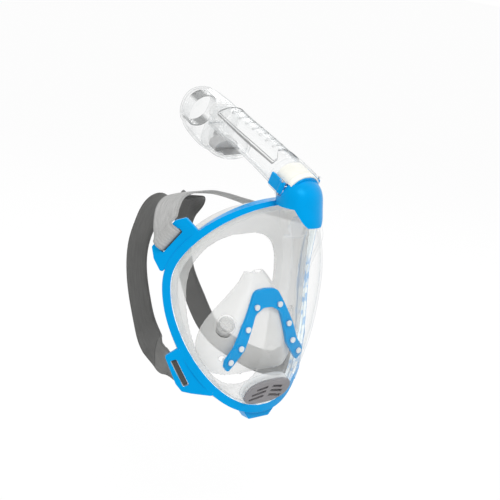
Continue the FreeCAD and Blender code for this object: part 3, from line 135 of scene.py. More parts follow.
# ------------------------------------------------------------- node building
def new_group(name, inputs, outputs):
    """Empty node group with its sockets and its two end nodes."""
    tree = bpy.data.node_groups.new(name, "ShaderNodeTree")
    for label, kind, default in inputs:
        socket = tree.interface.new_socket(name=label, in_out="INPUT", socket_type=kind)
        socket.default_value = default
    for label, kind in outputs:
        tree.interface.new_socket(name=label, in_out="OUTPUT", socket_type=kind)
    return tree, tree.nodes.new("NodeGroupInput").outputs, tree.nodes.new("NodeGroupOutput")


def feed(tree, made, inputs):
    """Set a node's inputs, each to a value or to a link from another node."""
    for key, value in inputs.items():
        if isinstance(value, bpy.types.NodeSocket):
            tree.links.new(value, made.inputs[key])
        else:
            made.inputs[key].default_value = value


def node(tree, kind, inputs=None, **settings):
    """One node with its settings and its inputs."""
    made = tree.nodes.new(kind)
    for key, value in settings.items():
        setattr(made, key, value)
    feed(tree, made, inputs or {})
    return made


def maths(tree, operation, *inputs, clamp=False):
    made = node(tree, "ShaderNodeMath", dict(enumerate(inputs)), operation=operation, use_clamp=clamp)
    return made.outputs[0]


def vector_maths(tree, operation, *inputs):
    """Result of a vector sum: a value for a dot product, otherwise a vector."""
    made = node(tree, "ShaderNodeVectorMath", dict(enumerate(inputs)), operation=operation)
    return made.outputs["Value" if operation == "DOT_PRODUCT" else "Vector"]


def ramp(tree, value, start, end, low=0.0, high=1.0):
    """Value that runs evenly from low to high while its source runs from start to end."""
    return node(tree, "ShaderNodeMapRange", {0: value, 1: start, 2: end, 3: low, 4: high}).outputs[0]


def noise(tree, place, scale, detail, **extra):
    inputs = {"Vector": place, "Scale": scale, "Detail": detail}
    inputs.update({key.capitalize(): value for key, value in extra.items()})
    return node(tree, "ShaderNodeTexNoise", inputs).outputs["Fac"]


def mix_colour(tree, share, first, second):
    return node(tree, "ShaderNodeMix", {0: share, 6: first, 7: second}, data_type="RGBA").outputs[2]


def lighten(tree, colour, value):
    return node(tree, "ShaderNodeHueSaturation", {"Color": colour, "Value": value}).outputs["Color"]


def bump(tree, height, distance, strength):
    inputs = {"Height": height, "Distance": distance, "Strength": strength}
    return node(tree, "ShaderNodeBump", inputs).outputs["Normal"]


def object_place(tree):
    return node(tree, "ShaderNodeTexCoord").outputs["Object"]


def rgba(colour):
    return (colour[0], colour[1], colour[2], 1.0)


def surface_outputs(with_alpha, with_normal):
    """Sockets that a finish hands to its shader."""
    sockets = [("Colour", "NodeSocketColor")]
    if with_alpha:
        sockets.append(("Alpha", "NodeSocketFloat"))
    sockets.append(("Roughness", "NodeSocketFloat"))
    if with_normal:
        sockets.append(("Normal", "NodeSocketVector"))
    return sockets


def moulded_group():
    """Fine moulded grain, faint flow marks and a little handling wear."""
    tree, start, end = new_group("moulded_plastic", (
        ("Colour", "NodeSocketColor", (0.5, 0.5, 0.5, 1.0)),
        ("Roughness", "NodeSocketFloat", 0.35),
        ("Grain", "NodeSocketFloat", 0.00004),
    ), surface_outputs(False, True))
    place = object_place(tree)
    grain = noise(tree, place, 2600.0, 3.0)
    flow = noise(tree, place, 28.0, 4.0, distortion=1.2)
    scuff = noise(tree, place, 190.0, 6.0, roughness=0.7)
    worn = ramp(tree, scuff, 0.58, 0.78)
    feed(tree, end, {
        "Colour": lighten(tree, start["Colour"], ramp(tree, flow, 0.3, 0.7, 0.93, 1.05)),
        "Roughness": maths(tree, "MULTIPLY_ADD", worn, 0.14, start["Roughness"], clamp=True),
        "Normal": bump(tree, grain, start["Grain"], 1.0),
    })
    return tree


def clear_group():
    """Clear plastic: tint and cover from face on to edge on, with hairline marks."""
    tree, start, end = new_group("clear_plastic", (
        ("Facing", "NodeSocketFloat", 0.0),
        ("Tint", "NodeSocketColor", (0.8, 0.8, 0.8, 1.0)),
        ("Edge", "NodeSocketColor", (0.3, 0.3, 0.3, 1.0)),
        ("Body", "NodeSocketFloat", 0.05),
        ("Wall", "NodeSocketFloat", 0.15),
        ("Rim", "NodeSocketFloat", 0.7),
        ("Falloff", "NodeSocketFloat", 9.0),
    ), surface_outputs(True, False))
    marks = noise(tree, object_place(tree), 60.0, 5.0, distortion=2.0)
    slope = maths(tree, "POWER", start["Facing"], 2.0)
    line = maths(tree, "POWER", start["Facing"], start["Falloff"])
    wall = maths(tree, "MULTIPLY_ADD", slope, start["Wall"], start["Body"])
    feed(tree, end, {
        "Colour": mix_colour(tree, line, start["Tint"], start["Edge"]),
        "Alpha": maths(tree, "MULTIPLY_ADD", line, start["Rim"], wall, clamp=True),
        "Roughness": ramp(tree, marks, 0.35, 0.75, 0.04, 0.12),
    })
    return tree


def silicone_group():
    """Milky silicone, cloudy inside and thinner towards the chin, with a soft satin skin."""
    tree, start, end = new_group("milky_silicone", (
        ("Facing", "NodeSocketFloat", 0.0),
        ("Colour", "NodeSocketColor", (0.8, 0.8, 0.79, 1.0)),
        ("Density", "NodeSocketFloat", 0.6),
    ), surface_outputs(True, True))
    place = object_place(tree)
    cloud = noise(tree, place, 35.0, 4.0, roughness=0.6)
    skin = noise(tree, place, 900.0, 2.0)
    slope = maths(tree, "POWER", start["Facing"], 2.5)
    height = node(tree, "ShaderNodeSeparateXYZ", {0: place}).outputs[2]
    dense = maths(tree, "MULTIPLY", ramp(tree, height, -0.075, -0.03, 0.4, 1.0), start["Density"])
    feed(tree, end, {
        "Colour": lighten(tree, start["Colour"], ramp(tree, cloud, 0.3, 0.7, 0.96, 1.03)),
        "Alpha": ramp(tree, slope, 0.0, 1.0, dense, 0.92),
        "Roughness": ramp(tree, cloud, 0.3, 0.7, 0.38, 0.52),
        "Normal": bump(tree, skin, 0.00005, 0.5),
    })
    return tree


def weave_wave(tree, turns):
    """Up and down of one yarn, once for each whole turn."""
    return maths(tree, "SINE", maths(tree, "MULTIPLY", turns, 2.0 * math.pi))


def elastic_group():
    """Woven elastic read from the band's own UV map: u along in metres, v across in metres."""
    tree, start, end = new_group("woven_elastic", (
        ("Colour", "NodeSocketColor", (0.2, 0.2, 0.2, 1.0)),
        ("Pitch", "NodeSocketFloat", 0.0011),
        ("Half width", "NodeSocketFloat", 0.0125),
        ("Length", "NodeSocketFloat", 0.5),
        ("Hem", "NodeSocketFloat", 0.04),
        ("Slant", "NodeSocketFloat", 0.0),
    ), surface_outputs(False, True))
    place = node(tree, "ShaderNodeUVMap", uv_map="band").outputs["UV"]
    along, across, _ = node(tree, "ShaderNodeSeparateXYZ", {0: place}).outputs
    # yarns cross in a half-brick pattern
    yarns = maths(tree, "DIVIDE", across, start["Pitch"])
    stagger = maths(tree, "MULTIPLY", maths(tree, "FLOOR", yarns), 0.5)
    turns = maths(tree, "ADD", maths(tree, "DIVIDE", along, start["Pitch"]), stagger)
    both = maths(tree, "MULTIPLY_ADD", weave_wave(tree, yarns), 0.5, weave_wave(tree, turns))
    fuzz = noise(tree, place, 1500.0, 3.0)
    value = ramp(tree, both, -1.5, 1.5, 0.72, 1.18)
    value = maths(tree, "MULTIPLY", value, ramp(tree, fuzz, 0.3, 0.7, 0.9, 1.08))
    streak = noise(tree, vector_maths(tree, "MULTIPLY", place, (40.0, 620.0, 0.0)), 1.0, 3.0)
    value = maths(tree, "MULTIPLY", value, ramp(tree, streak, 0.3, 0.7, 0.84, 1.14))
    # the band is darker towards both edges: painted shade on its rounded edges
    share = maths(tree, "DIVIDE", maths(tree, "ABSOLUTE", across), start["Half width"])
    body = maths(tree, "MULTIPLY", value, ramp(tree, share, 0.86, 0.9, 1.0, 0.82))
    # the folded end: lighter where doubled up, a dark line at the slanting seam that is partly the seam and
    # partly painted shade of the fold, and painted shade inside the lug
    near = maths(tree, "MINIMUM", maths(tree, "SUBTRACT", start["Length"], along), along)
    past = maths(tree, "SUBTRACT", maths(tree, "MULTIPLY_ADD", across, start["Slant"], near), start["Hem"])
    doubled = ramp(tree, past, -0.0006, 0.0, 1.6, 1.0)
    # dark seam line: partly the seam itself, partly painted shade of the fold
    seam = ramp(tree, maths(tree, "ABSOLUTE", past), 0.0005, 0.0016, 0.35, 1.0)
    painted_lug_shade = ramp(tree, near, 0.002, 0.009, 0.3, 1.0)
    shaded = maths(tree, "MULTIPLY", maths(tree, "MULTIPLY", doubled, seam), painted_lug_shade)
    feed(tree, end, {
        "Colour": lighten(tree, start["Colour"], maths(tree, "MULTIPLY", body, shaded)),
        "Roughness": ramp(tree, both, -1.5, 1.5, 0.92, 0.72),
        "Normal": bump(tree, both, 0.00025, 0.8),
    })
    return tree


def blank_material(name):
    """New material with its tree and its Principled node."""
    made = bpy.data.materials.new(name)
    made.use_nodes = True
    return made, made.node_tree, made.node_tree.nodes["Principled BSDF"]


def finish_with(tree, shader, group, build, inputs):
    """Lay a shared finish under a material's shader."""
    shared = bpy.data.node_groups.get(group) or build()
    finish = node(tree, "ShaderNodeGroup", node_tree=shared)
    feed(tree, finish, inputs)
    targets = {"Colour": "Base Color"}
    for output in finish.outputs:
        tree.links.new(output, shader.inputs[targets.get(output.name, output.name)])


def moulded_material(name, colour, roughness, grain):
    made, tree, shader = blank_material(name)
    finish_with(tree, shader, "moulded_plastic", moulded_group,
                {"Colour": rgba(colour), "Roughness": roughness, "Grain": grain})
    return made


def blue_material(name, rim, colour):
    """Glossy blue moulding whose highlights stay blue."""
    made = moulded_material(name, colour, 0.3, rim.grain)
    made.node_tree.nodes["Principled BSDF"].inputs["Specular Tint"].default_value = rgba(rim.shine)
    return made


def lined_material(name, rim, colour):
    """Blue moulding whose inner wall shows the silicone that lines it, with blue glimpses, and a painted
    glow of emission on that lining.
    """
    made = blue_material(name, rim, colour)
    tree = made.node_tree
    shader = tree.nodes["Principled BSDF"]
    place = object_place(tree)
    outward = vector_maths(tree, "NORMALIZE", vector_maths(tree, "MULTIPLY", place, (1.0, 0.0, 0.8)))
    normal = node(tree, "ShaderNodeNewGeometry").outputs["Normal"]
    inner = ramp(tree, vector_maths(tree, "DOT_PRODUCT", outward, normal), -0.35, -0.5)
    height = node(tree, "ShaderNodeSeparateXYZ", {0: place}).outputs[2]
    glimpse = ramp(tree, noise(tree, place, 110.0, 1.0), 0.53, 0.57, 0.0, 0.5)
    shown = maths(tree, "MULTIPLY", glimpse, ramp(tree, height, 0.03, 0.02))
    lining = mix_colour(tree, shown, rgba(rim.lining), rgba(colour))
    blue = shader.inputs["Base Color"].links[0].from_socket
    feed(tree, shader, {
        "Base Color": mix_colour(tree, inner, blue, lining),
        # the emission on the inner wall is painted light: a glow in the lining's colour
        "Emission Color": mix_colour(tree, inner, (0.0, 0.0, 0.0, 1.0), lining),
        "Emission Strength": rim.glow,
    })
    return made


def clear_material(name, settings, body, wall, rim, falloff=9.0):
    made, tree, shader = blank_material(name)
    facing = node(tree, "ShaderNodeLayerWeight", {"Blend": 0.5}).outputs["Facing"]
    finish_with(tree, shader, "clear_plastic", clear_group,
                {"Tint": rgba(settings.tint), "Edge": rgba(settings.edge), "Body": body, "Wall": wall,
                 "Rim": rim, "Falloff": falloff, "Facing": facing})
    shader.inputs["IOR"].default_value = 1.5
    return made


def silicone_material(name, colour, density):
    made, tree, shader = blank_material(name)
    facing = node(tree, "ShaderNodeLayerWeight", {"Blend": 0.55}).outputs["Facing"]
    finish_with(tree, shader, "milky_silicone", silicone_group,
                {"Colour": rgba(colour), "Density": density, "Facing": facing})
    return made


def elastic_material(name, colour, pitch, half_width, length, hem, slant):
    made, tree, shader = blank_material(name)
    finish_with(tree, shader, "woven_elastic", elastic_group,
                {"Colour": rgba(colour), "Pitch": pitch, "Half width": half_width, "Length": length,
                 "Hem": hem, "Slant": slant})
    feed(tree, shader, {"Sheen Weight": 0.25, "Sheen Roughness": 0.5})
    return made


def darken(made, share, tone):
    """Lay a dark tone over a clear material where the share says, as opaque as the share."""
    tree = made.node_tree
    shader = tree.nodes["Principled BSDF"]
    cover = shader.inputs["Alpha"].links[0].from_socket
    colour = shader.inputs["Base Color"].links[0].from_socket
    feed(tree, shader, {
        "Alpha": maths(tree, "MAXIMUM", share, cover),
        "Base Color": mix_colour(tree, share, colour, (tone, tone, tone, 1.0)),
    })


# ------------------------------------------------------------- piece building
def dress(material, *names):
    """Give kept frame nodes their finish."""
    for name in names:
        slots = NODES[name].data.materials
        slots.clear()
        slots.append(material)


def add_piece(name, mesh, body, material):
    """Link a finished mesh, seat it on its body and give it its finish."""
    made = bpy.data.objects.new(name, mesh)
    bpy.context.scene.collection.objects.link(made)
    mesh.materials.clear()
    mesh.materials.append(material)
    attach(made, body)
    return made


def soft_copy(node_name, piece_name, voxel, rounds, material):
    """Soft piece from a frame node: merged, remeshed evenly and rounded off."""
    source = bmesh.new()
    source.from_mesh(NODES[node_name].data)
    bmesh.ops.remove_doubles(source, verts=source.verts, dist=0.00001)
    mesh = bpy.data.meshes.new(piece_name)
    source.to_mesh(mesh)
    source.free()
    made = add_piece(piece_name, mesh, "mask", material)
    remesh = made.modifiers.new("even mesh", "REMESH")
    remesh.mode = "VOXEL"
    remesh.voxel_size = voxel
    remesh.use_smooth_shade = True
    smooth = made.modifiers.new("rounded", "SMOOTH")
    smooth.factor = 0.5
    smooth.iterations = rounds
    settled = bpy.data.meshes.new_from_object(made.evaluated_get(bpy.context.evaluated_depsgraph_get()))
    made.modifiers.clear()
    made.data = settled
    settled.materials.clear()
    settled.materials.append(material)
    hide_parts(node_name)
    return made


def read_points(mesh):
    where = np.empty(len(mesh.vertices) * 3)
    mesh.vertices.foreach_get("co", where)
    return where.reshape(-1, 3)


def smooth_share(values, start, width):
    """0 before the start, 1 from a width past it."""
    return np.clip((values - start) / width, 0.0, 1.0)


BROW_FROM, BROW_RISE = 0.02, 0.03     # height over which the lip's draw-in sets in
LIP_FROM, LIP_WIDE = 0.07, 0.02       # distance from the middle where the lip begins
LIP_TUCK = 0.03                       # share that the lip is drawn in


def tuck_lip(mesh):
    """Draw the skirt's outer lip in behind the rim over the brow."""
    where = read_points(mesh)
    brow = smooth_share(where[:, 2], BROW_FROM, BROW_RISE)
    outer = smooth_share(np.hypot(where[:, 0], where[:, 2]), LIP_FROM, LIP_WIDE)
    share = 1.0 - LIP_TUCK * brow * outer
    where[:, 0] *= share
    where[:, 2] *= share
    mesh.vertices.foreach_set("co", where.reshape(-1))


def round_top(mesh, low, high, half_width, lift):
    """Turn the pocket's level top into a rounded hump."""
    where = read_points(mesh)
    rise = smooth_share(where[:, 2], low, high - low) ** 2
    bow = 1.0 - 2.0 * np.minimum((where[:, 0] / half_width) ** 2, 1.5)
    where[:, 2] += rise * bow * lift
    mesh.vertices.foreach_set("co", where.reshape(-1))


SKIRT_ROUNDS = 6             # smoothing rounds
POCKET_ROUNDS = 32
POCKET_FINER = 0.7           # the pocket's mesh is this much finer than the skirt's
POCKET_TOP = (0.008, 0.028)  # heights between which its hump rises
POCKET_HUMP_HALF_W = 0.016
POCKET_HUMP = 0.0022


# ------------------------------------------------------------------- operators
class MASK_OT_rim(bpy.types.Operator):
    """Finish the blue rim, the socket and the latches"""
    bl_idname = "mask.rim"
    bl_label = "Rim, socket and latches"

    def execute(self, context):
        rim = context.scene.mask_rim
        blue = blue_material("socket_blue", rim, rim.colour)
        steel = moulded_material("pin_steel", (0.5, 0.5, 0.5), 0.3, rim.grain)
        steel.node_tree.nodes["Principled BSDF"].inputs["Metallic"].default_value = 1.0
        dress(lined_material("rim_blue", rim, rim.colour), "frame_ring")
        dress(blue, "snorkel_socket", "latch_right", "latch_left")
        dress(steel, "latch_pins", "lever_pin")
        return {"FINISHED"}


class MASK_OT_window(bpy.types.Operator):
    """Finish the clear window with its duct, and the divider in the duct"""
    bl_idname = "mask.window"
    bl_label = "Window"

    def execute(self, context):
        window = context.scene.mask_window
        dress(clear_material("clear_window", window, window.body, 0.07, 0.55), "lens")
        dress(clear_material("clear_divider", window, 0.12, 0.3, 0.9), "duct_divider")
        return {"FINISHED"}


class MASK_OT_skirt(bpy.types.Operator):
    """Make the soft face skirt and the nose pocket"""
    bl_idname = "mask.skirt"
    bl_label = "Skirt and nose pocket"

    def execute(self, context):
        soft = context.scene.mask_silicone
        milky = silicone_material("milky_silicone", soft.colour, soft.density)
        skirt = soft_copy("face_skirt", "skirt_soft", soft.voxel, SKIRT_ROUNDS, milky)
        tuck_lip(skirt.data)
        fine = soft.voxel * POCKET_FINER
        pocket = soft_copy("nose_pocket", "nose_pocket_soft", fine, POCKET_ROUNDS, milky)
        round_top(pocket.data, *POCKET_TOP, POCKET_HUMP_HALF_W, POCKET_HUMP)
        return {"FINISHED"}


class MASK_OT_nose_frame(bpy.types.Operator):
    """Finish the nose frame, its pegs and the inhale valves"""
    bl_idname = "mask.nose_frame"
    bl_label = "Nose frame and inhale valves"

    def execute(self, context):
        rim = context.scene.mask_rim
        soft = context.scene.mask_silicone
        window = context.scene.mask_window
        dress(blue_material("nose_blue", rim, rim.nose_colour), "nose_frame")
        dress(moulded_material("stud_white", (0.74, 0.78, 0.8), 0.4, rim.grain), "pocket_studs")
        dress(silicone_material("seat_milky", soft.colour, 0.2), "inhale_seat_right", "inhale_seat_left")
        dress(silicone_material("leaf_thin", soft.colour, 0.5), "inhale_flap_right", "inhale_flap_left")
        dress(silicone_material("leaf_silicone", soft.colour, 0.15), "inlet_seal")
        dress(silicone_material("leaf_white", soft.colour, 0.95), "purge_diaphragm")
        dress(silicone_material("leaf_grey", (0.25, 0.25, 0.25), 0.85), "drain_flap")
        return {"FINISHED"}


class MASK_OT_purge(bpy.types.Operator):
    """Finish the purge valve"""
    bl_idname = "mask.purge"
    bl_label = "Purge valve"

    def execute(self, context):
        rim = context.scene.mask_rim
        dress(moulded_material("valve_grey", (0.24, 0.23, 0.24), 0.45, rim.grain), "purge_cover")
        dress(clear_material("valve_clear", context.scene.mask_window, 0.3, 0.35, 0.5), "purge_seat")
        return {"FINISHED"}


TUBE_FOOT = (0.0, -0.0665, 0.1203)
TUBE_TOP = (0.0, -0.3665, 0.9304)  # across the tube, away from the head
CAP_MIDDLE = -0.0148               # the cap's middle along that direction


def slot_shade_band_material(name, window):
    """Tinted band that is painted dark over the cap's upper and lower slots, as the shade inside them, and
    clear between them.
    """
    made = clear_material(name, window, 0.08, 0.3, 0.8, 3.0)
    tree = made.node_tree
    local = vector_maths(tree, "SUBTRACT", object_place(tree), TUBE_FOOT)
    off = maths(tree, "SUBTRACT", vector_maths(tree, "DOT_PRODUCT", local, TUBE_TOP), CAP_MIDDLE)
    # painted shade: the dark tone over the slots stands in for the shade inside the openings
    darken(made, ramp(tree, maths(tree, "ABSOLUTE", off), 0.009, 0.0125, 0.0, 0.75), 0.09)
    return made


def panel_material(name, window):
    """Clear panel whose narrow side walls show as dark lines."""
    made = clear_material(name, window, 0.02, 0.1, 0.6, 3.0)
    tree = made.node_tree
    normal = node(tree, "ShaderNodeNewGeometry").outputs["True Normal"]
    level = maths(tree, "ABSOLUTE", vector_maths(tree, "DOT_PRODUCT", normal, TUBE_TOP))
    darken(made, ramp(tree, level, 0.5, 0.25, 0.0, 0.8), 0.12)
    return made


class MASK_OT_tube(bpy.types.Operator):
    """Finish the tube, its collar, its panel and the dry top"""
    bl_idname = "mask.tube"
    bl_label = "Breathing tube"

    def execute(self, context):
        window = context.scene.mask_window
        rim = context.scene.mask_rim
        clear = clear_material("clear_tube", window, window.tube_body, 0.16, 0.85, 4.5)
        dress(clear, "tube_body", "top_cap", "tube_collar")
        dress(panel_material("clear_panel", window), "tube_panel")
        dress(moulded_material("gasket_cream", (0.93, 0.92, 0.84), 0.55, rim.grain), "neck_gasket")
        dress(slot_shade_band_material("cap_band", window), "cap_band")
        dress(silicone_material("rail_grey", (0.2, 0.2, 0.2), 0.8), "drain_rail")
        dress(clear_material("clear_deck", window, 0.08, 0.35, 0.7, 3.0), "inlet_deck", "float_lever")
        dress(moulded_material("float_grey", (0.5, 0.5, 0.5), 0.5, rim.grain), "float")
        return {"FINISHED"}


# centre and width direction of each band, from its lug to the middle of the loop
LOWER_ROUTE = (
    ((-0.0747, -0.0285, -0.0616), (-0.39, 0.32, 0.86)),
    ((-0.0728, -0.0259, -0.0618), (-0.39, 0.32, 0.86)),
    ((-0.0721, -0.0216, -0.0632), (-0.39, 0.28, 0.88)),
    ((-0.0705, -0.0080, -0.0610), (-0.15, 0.00, 0.99)),
    ((-0.0610, 0.0120, -0.0655), (0.01, -0.12, 0.99)),
    ((-0.0507, 0.0340, -0.0680), (-0.11, -0.68, 0.73)),
    ((-0.0454, 0.0500, -0.0640), (0.05, -0.96, 0.25)),
    ((-0.0385, 0.0704, -0.0555), (0.20, -0.94, 0.28)),
    ((-0.0344, 0.0868, -0.0372), (0.20, -0.96, 0.21)),
    ((-0.0306, 0.1019, -0.0123), (0.20, -0.97, 0.16)),
    ((-0.0268, 0.1083, 0.0194), (0.20, -0.97, 0.16)),
    ((-0.0242, 0.1047, 0.0381), (0.15, -0.98, 0.16)),
    ((-0.0230, 0.0974, 0.0530), (0.10, -0.98, 0.16)),
    ((-0.0170, 0.0850, 0.0665), (0.00, -0.99, 0.17)),
    ((0.0, 0.0800, 0.0695), (0.00, -0.99, 0.17)),
)
# the far half of the lower band hangs wider than the near half
LOWER_FAR = (
    ((0.0160, 0.0850, 0.0678), (0.00, -0.98, 0.17)),
    ((0.0230, 0.0974, 0.0550), (-0.05, -0.98, 0.16)),
    ((0.0242, 0.1047, 0.0381), (-0.03, -0.98, 0.17)),
    ((0.0268, 0.1083, 0.0194), (0.00, -0.98, 0.20)),
    ((0.0306, 0.1019, -0.0123), (0.00, -0.98, 0.20)),
    ((0.0352, 0.0880, -0.0400), (0.14, -0.80, 0.57)),
    ((0.0345, 0.0715, -0.0550), (0.10, -0.70, 0.71)),
    ((0.0373, 0.0545, -0.0676), (0.00, -0.64, 0.77)),
    ((0.0425, 0.0360, -0.0742), (-0.08, -0.49, 0.87)),
    ((0.0515, 0.0130, -0.0800), (0.03, -0.31, 0.95)),
    ((0.0590, 0.0000, -0.0815), (0.06, -0.20, 0.97)),
    ((0.0670, -0.0120, -0.0765), (0.20, 0.05, 0.96)),
    ((0.0721, -0.0216, -0.0632), (0.39, 0.28, 0.88)),
    ((0.0728, -0.0259, -0.0618), (0.39, 0.32, 0.86)),
    ((0.0747, -0.0285, -0.0616), (0.39, 0.32, 0.86)),
)
UPPER_ROUTE = (
    ((-0.0803, -0.0081, 0.0588), (0.34, -0.48, 0.81)),
    ((-0.0846, -0.0110, 0.0588), (0.34, -0.48, 0.81)),
    ((-0.0890, -0.0111, 0.0606), (0.34, -0.48, 0.81)),
    ((-0.0915, -0.0069, 0.0641), (0.34, -0.48, 0.81)),
    ((-0.0882, -0.0027, 0.0653), (0.34, -0.48, 0.81)),
    ((-0.0669, 0.0212, 0.0653), (0.50, -0.66, 0.56)),
    ((-0.0439, 0.0474, 0.0715), (0.60, -0.70, 0.37)),
    ((-0.0246, 0.0610, 0.0764), (0.50, -0.82, 0.29)),
    ((0.0, 0.0645, 0.0778), (0.00, -0.96, 0.28)),
)


def whole_route(rows, far=()):
    """A band's route from lug to lug: its near half, then its far half or the near one mirrored."""
    mirrored = [((-p[0], p[1], p[2]), (-w[0], w[1], w[2])) for p, w in reversed(rows[:-1])]
    return [(Vector(p), Vector(w)) for p, w in tuple(rows) + tuple(far or mirrored)]


class BandLine:
    """Smooth line through a band's route, measured by length."""

    def __init__(self, route):
        points = np.array([p for p, _ in route])
        self.widths = [w for _, w in route]
        steps = np.linalg.norm(np.diff(points, axis=0), axis=1)
        self.knots = np.concatenate(([0.0], np.cumsum(steps)))
        count = len(points)
        system = np.eye(count)
        target = np.zeros((count, 3))
        for i in range(1, count - 1):
            system[i, i - 1:i + 2] = (steps[i - 1], 2.0 * (steps[i - 1] + steps[i]), steps[i])
            after = (points[i + 1] - points[i]) / steps[i]
            before = (points[i] - points[i - 1]) / steps[i - 1]
            target[i] = 6.0 * (after - before)
        self.bends = np.linalg.solve(system, target)
        self.points = points

    def place(self, t):
        k = int(min(max(np.searchsorted(self.knots, t) - 1, 0), len(self.knots) - 2))
        h = self.knots[k + 1] - self.knots[k]
        a = (self.knots[k + 1] - t) / h
        b = (t - self.knots[k]) / h
        p = a * self.points[k] + b * self.points[k + 1]
        p = p + ((a ** 3 - a) * self.bends[k] + (b ** 3 - b) * self.bends[k + 1]) * h * h / 6.0
        slope = (self.points[k + 1] - self.points[k]) / h
        slope = slope + ((1 - 3 * a * a) * self.bends[k] + (3 * b * b - 1) * self.bends[k + 1]) * h / 6.0
        along = Vector(slope).normalized()
        width = self.widths[k].lerp(self.widths[k + 1], b)
        across = (width - along * width.dot(along)).normalized()
        return Vector(p), along, across


def band_mesh(name, line, half_width, count, columns=6):
    """Flat band swept along its line by extruding its first edge, with lengths kept in the map."""
    work = bmesh.new()
    column = work.verts.layers.float.new("column")
    travel = work.verts.layers.float.new("travel")
    placed = [line.place(line.knots[-1] * i / (count - 1.0)) for i in range(count)]
    length = 0.0
    shares = [-1.0 + 2.0 * k / (columns - 1.0) for k in range(columns)]

    def seat(vert, where, share):
        centre, along, across = where
        vert.co = centre + across * (half_width * share)
        vert[column] = share

    row = [work.verts.new() for _ in shares]
    for vert, share in zip(row, shares):
        seat(vert, placed[0], share)
    edges = [work.edges.new((one, two)) for one, two in zip(row, row[1:])]
    for before, here in zip(placed, placed[1:]):
        length += (here[0] - before[0]).length
        made = bmesh.ops.extrude_edge_only(work, edges=edges)["geom"]
        fresh = [v for v in made if isinstance(v, bmesh.types.BMVert)]
        edges = [e for e in made if isinstance(e, bmesh.types.BMEdge) and all(v in fresh for v in e.verts)]
        for vert in fresh:
            seat(vert, here, vert[column])
            vert[travel] = length
    band_map = work.loops.layers.uv.new("band")
    for face in work.faces:
        face.smooth = True
        for corner in face.loops:
            corner[band_map].uv = (corner.vert[travel], corner.vert[column] * half_width)
    bmesh.ops.recalc_face_normals(work, faces=work.faces)
    mesh = bpy.data.meshes.new(name)
    work.to_mesh(mesh)
    work.free()
    return mesh, length


FOLDED = 2.3       # thickness of the folded ends over that of the band
EDGE_SHARE = 0.3   # rounding of the edges over the thickness


def thicken(made, thickness, length, lug):
    """Give a band its thickness, folded double where it passes through a lug."""
    group = made.vertex_groups.new(name="layers")
    for vert, travel in enumerate(made.data.attributes["travel"].data):
        in_lug = min(travel.value, length - travel.value) < lug
        group.add([vert], 1.0 if in_lug else 1.0 / FOLDED, "REPLACE")
    solid = made.modifiers.new("thickness", "SOLIDIFY")
    solid.thickness = FOLDED * thickness
    solid.vertex_group = "layers"
    solid.offset = 0.0
    soft = made.modifiers.new("rounded edges", "BEVEL")
    soft.width = thickness * EDGE_SHARE
    soft.segments = 2
    soft.limit_method = "ANGLE"
    soft.angle_limit = math.radians(50.0)


BAND_SECTIONS = 260
BANDS = (  # name, route, finish, colour, then hem, slant of its seam and length in the lug
    ("lower", whole_route(LOWER_ROUTE, LOWER_FAR), "strap_dark", "dark", 0.076, -0.86, 0.009),
    ("upper", whole_route(UPPER_ROUTE), "strap_light", "light", 0.006, 0.0, 0.014),
)


class MASK_OT_straps(bpy.types.Operator):
    """Make both elastic bands, folded double at their lugs"""
    bl_idname = "mask.straps"
    bl_label = "Head straps"

    def execute(self, context):
        strap = context.scene.mask_strap
        half = strap.width / 2.0
        for name, route, slot, colour, hem, slant, lug in BANDS:
            mesh, length = band_mesh("band_" + name, BandLine(route), half, BAND_SECTIONS)
            material = elastic_material(slot, getattr(strap, colour), strap.pitch, half, length, hem, slant)
            made = add_piece("band_" + name, mesh, "mask", material)
            thicken(made, strap.thickness, length, lug)
            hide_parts("strap_" + name)
        return {"FINISHED"}


def soft_lamp(name, place, target, size, power):
    data = bpy.data.lights.new(name, "AREA")
    data.shape = "DISK"
    data.size = size
    data.energy = power
    lamp = bpy.data.objects.new(name, data)
    lamp.location = place
    lamp.rotation_mode = "QUATERNION"
    lamp.rotation_quaternion = (Vector(target) - Vector(place)).to_track_quat("-Z", "Y")
    bpy.context.scene.collection.objects.link(lamp)


WHITE = (1.0, 1.0, 1.0, 1.0)
FLOOR_HALF = 6.0
CAMERA_RIGHT = Vector((0.7431, -0.6590, 0.1105))
CAMERA_BACK = Vector((-0.6590, -0.6930, 0.2922))
CAMERA_AIM = Vector((0.0, -0.05, 0.0))
CAMERA_AWAY = 1.3
CAMERA_SHIFT = (-0.03, 0.11)
CLEAR_LAYERS = 32  # clear surfaces that one line of sight may pass


def seen_directly(tree):
    """1 for camera, glossy and transmission rays, 0 for the light that falls on the mask."""
    ray = node(tree, "ShaderNodeLightPath").outputs
    seen = maths(tree, "ADD", ray["Is Camera Ray"], ray["Is Glossy Ray"], clamp=True)
    return maths(tree, "ADD", seen, ray["Is Transmission Ray"], clamp=True)


def make_floor(level):
    """Wide white floor that looks like the surroundings and still takes a shadow."""
    work = bmesh.new()
    bmesh.ops.create_grid(work, x_segments=1, y_segments=1, size=FLOOR_HALF)
    bmesh.ops.translate(work, verts=work.verts, vec=(0.0, 0.0, level))
    mesh = bpy.data.meshes.new("floor")
    work.to_mesh(mesh)
    work.free()
    plane = bpy.data.objects.new("floor", mesh)
    bpy.context.scene.collection.objects.link(plane)
    plane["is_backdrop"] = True
    made, tree, shader = blank_material("floor_white")
    feed(tree, shader, {"Base Color": (0.9, 0.9, 0.9, 1.0), "Roughness": 0.9})
    share = maths(tree, "MULTIPLY", seen_directly(tree), 0.85)
    glow = node(tree, "ShaderNodeEmission", {"Color": WHITE, "Strength": 1.03})
    inputs = {0: share, 1: shader.outputs[0], 2: glow.outputs[0]}
    both = node(tree, "ShaderNodeMixShader", inputs)
    tree.links.new(both.outputs[0], tree.nodes["Material Output"].inputs["Surface"])
    mesh.materials.append(made)


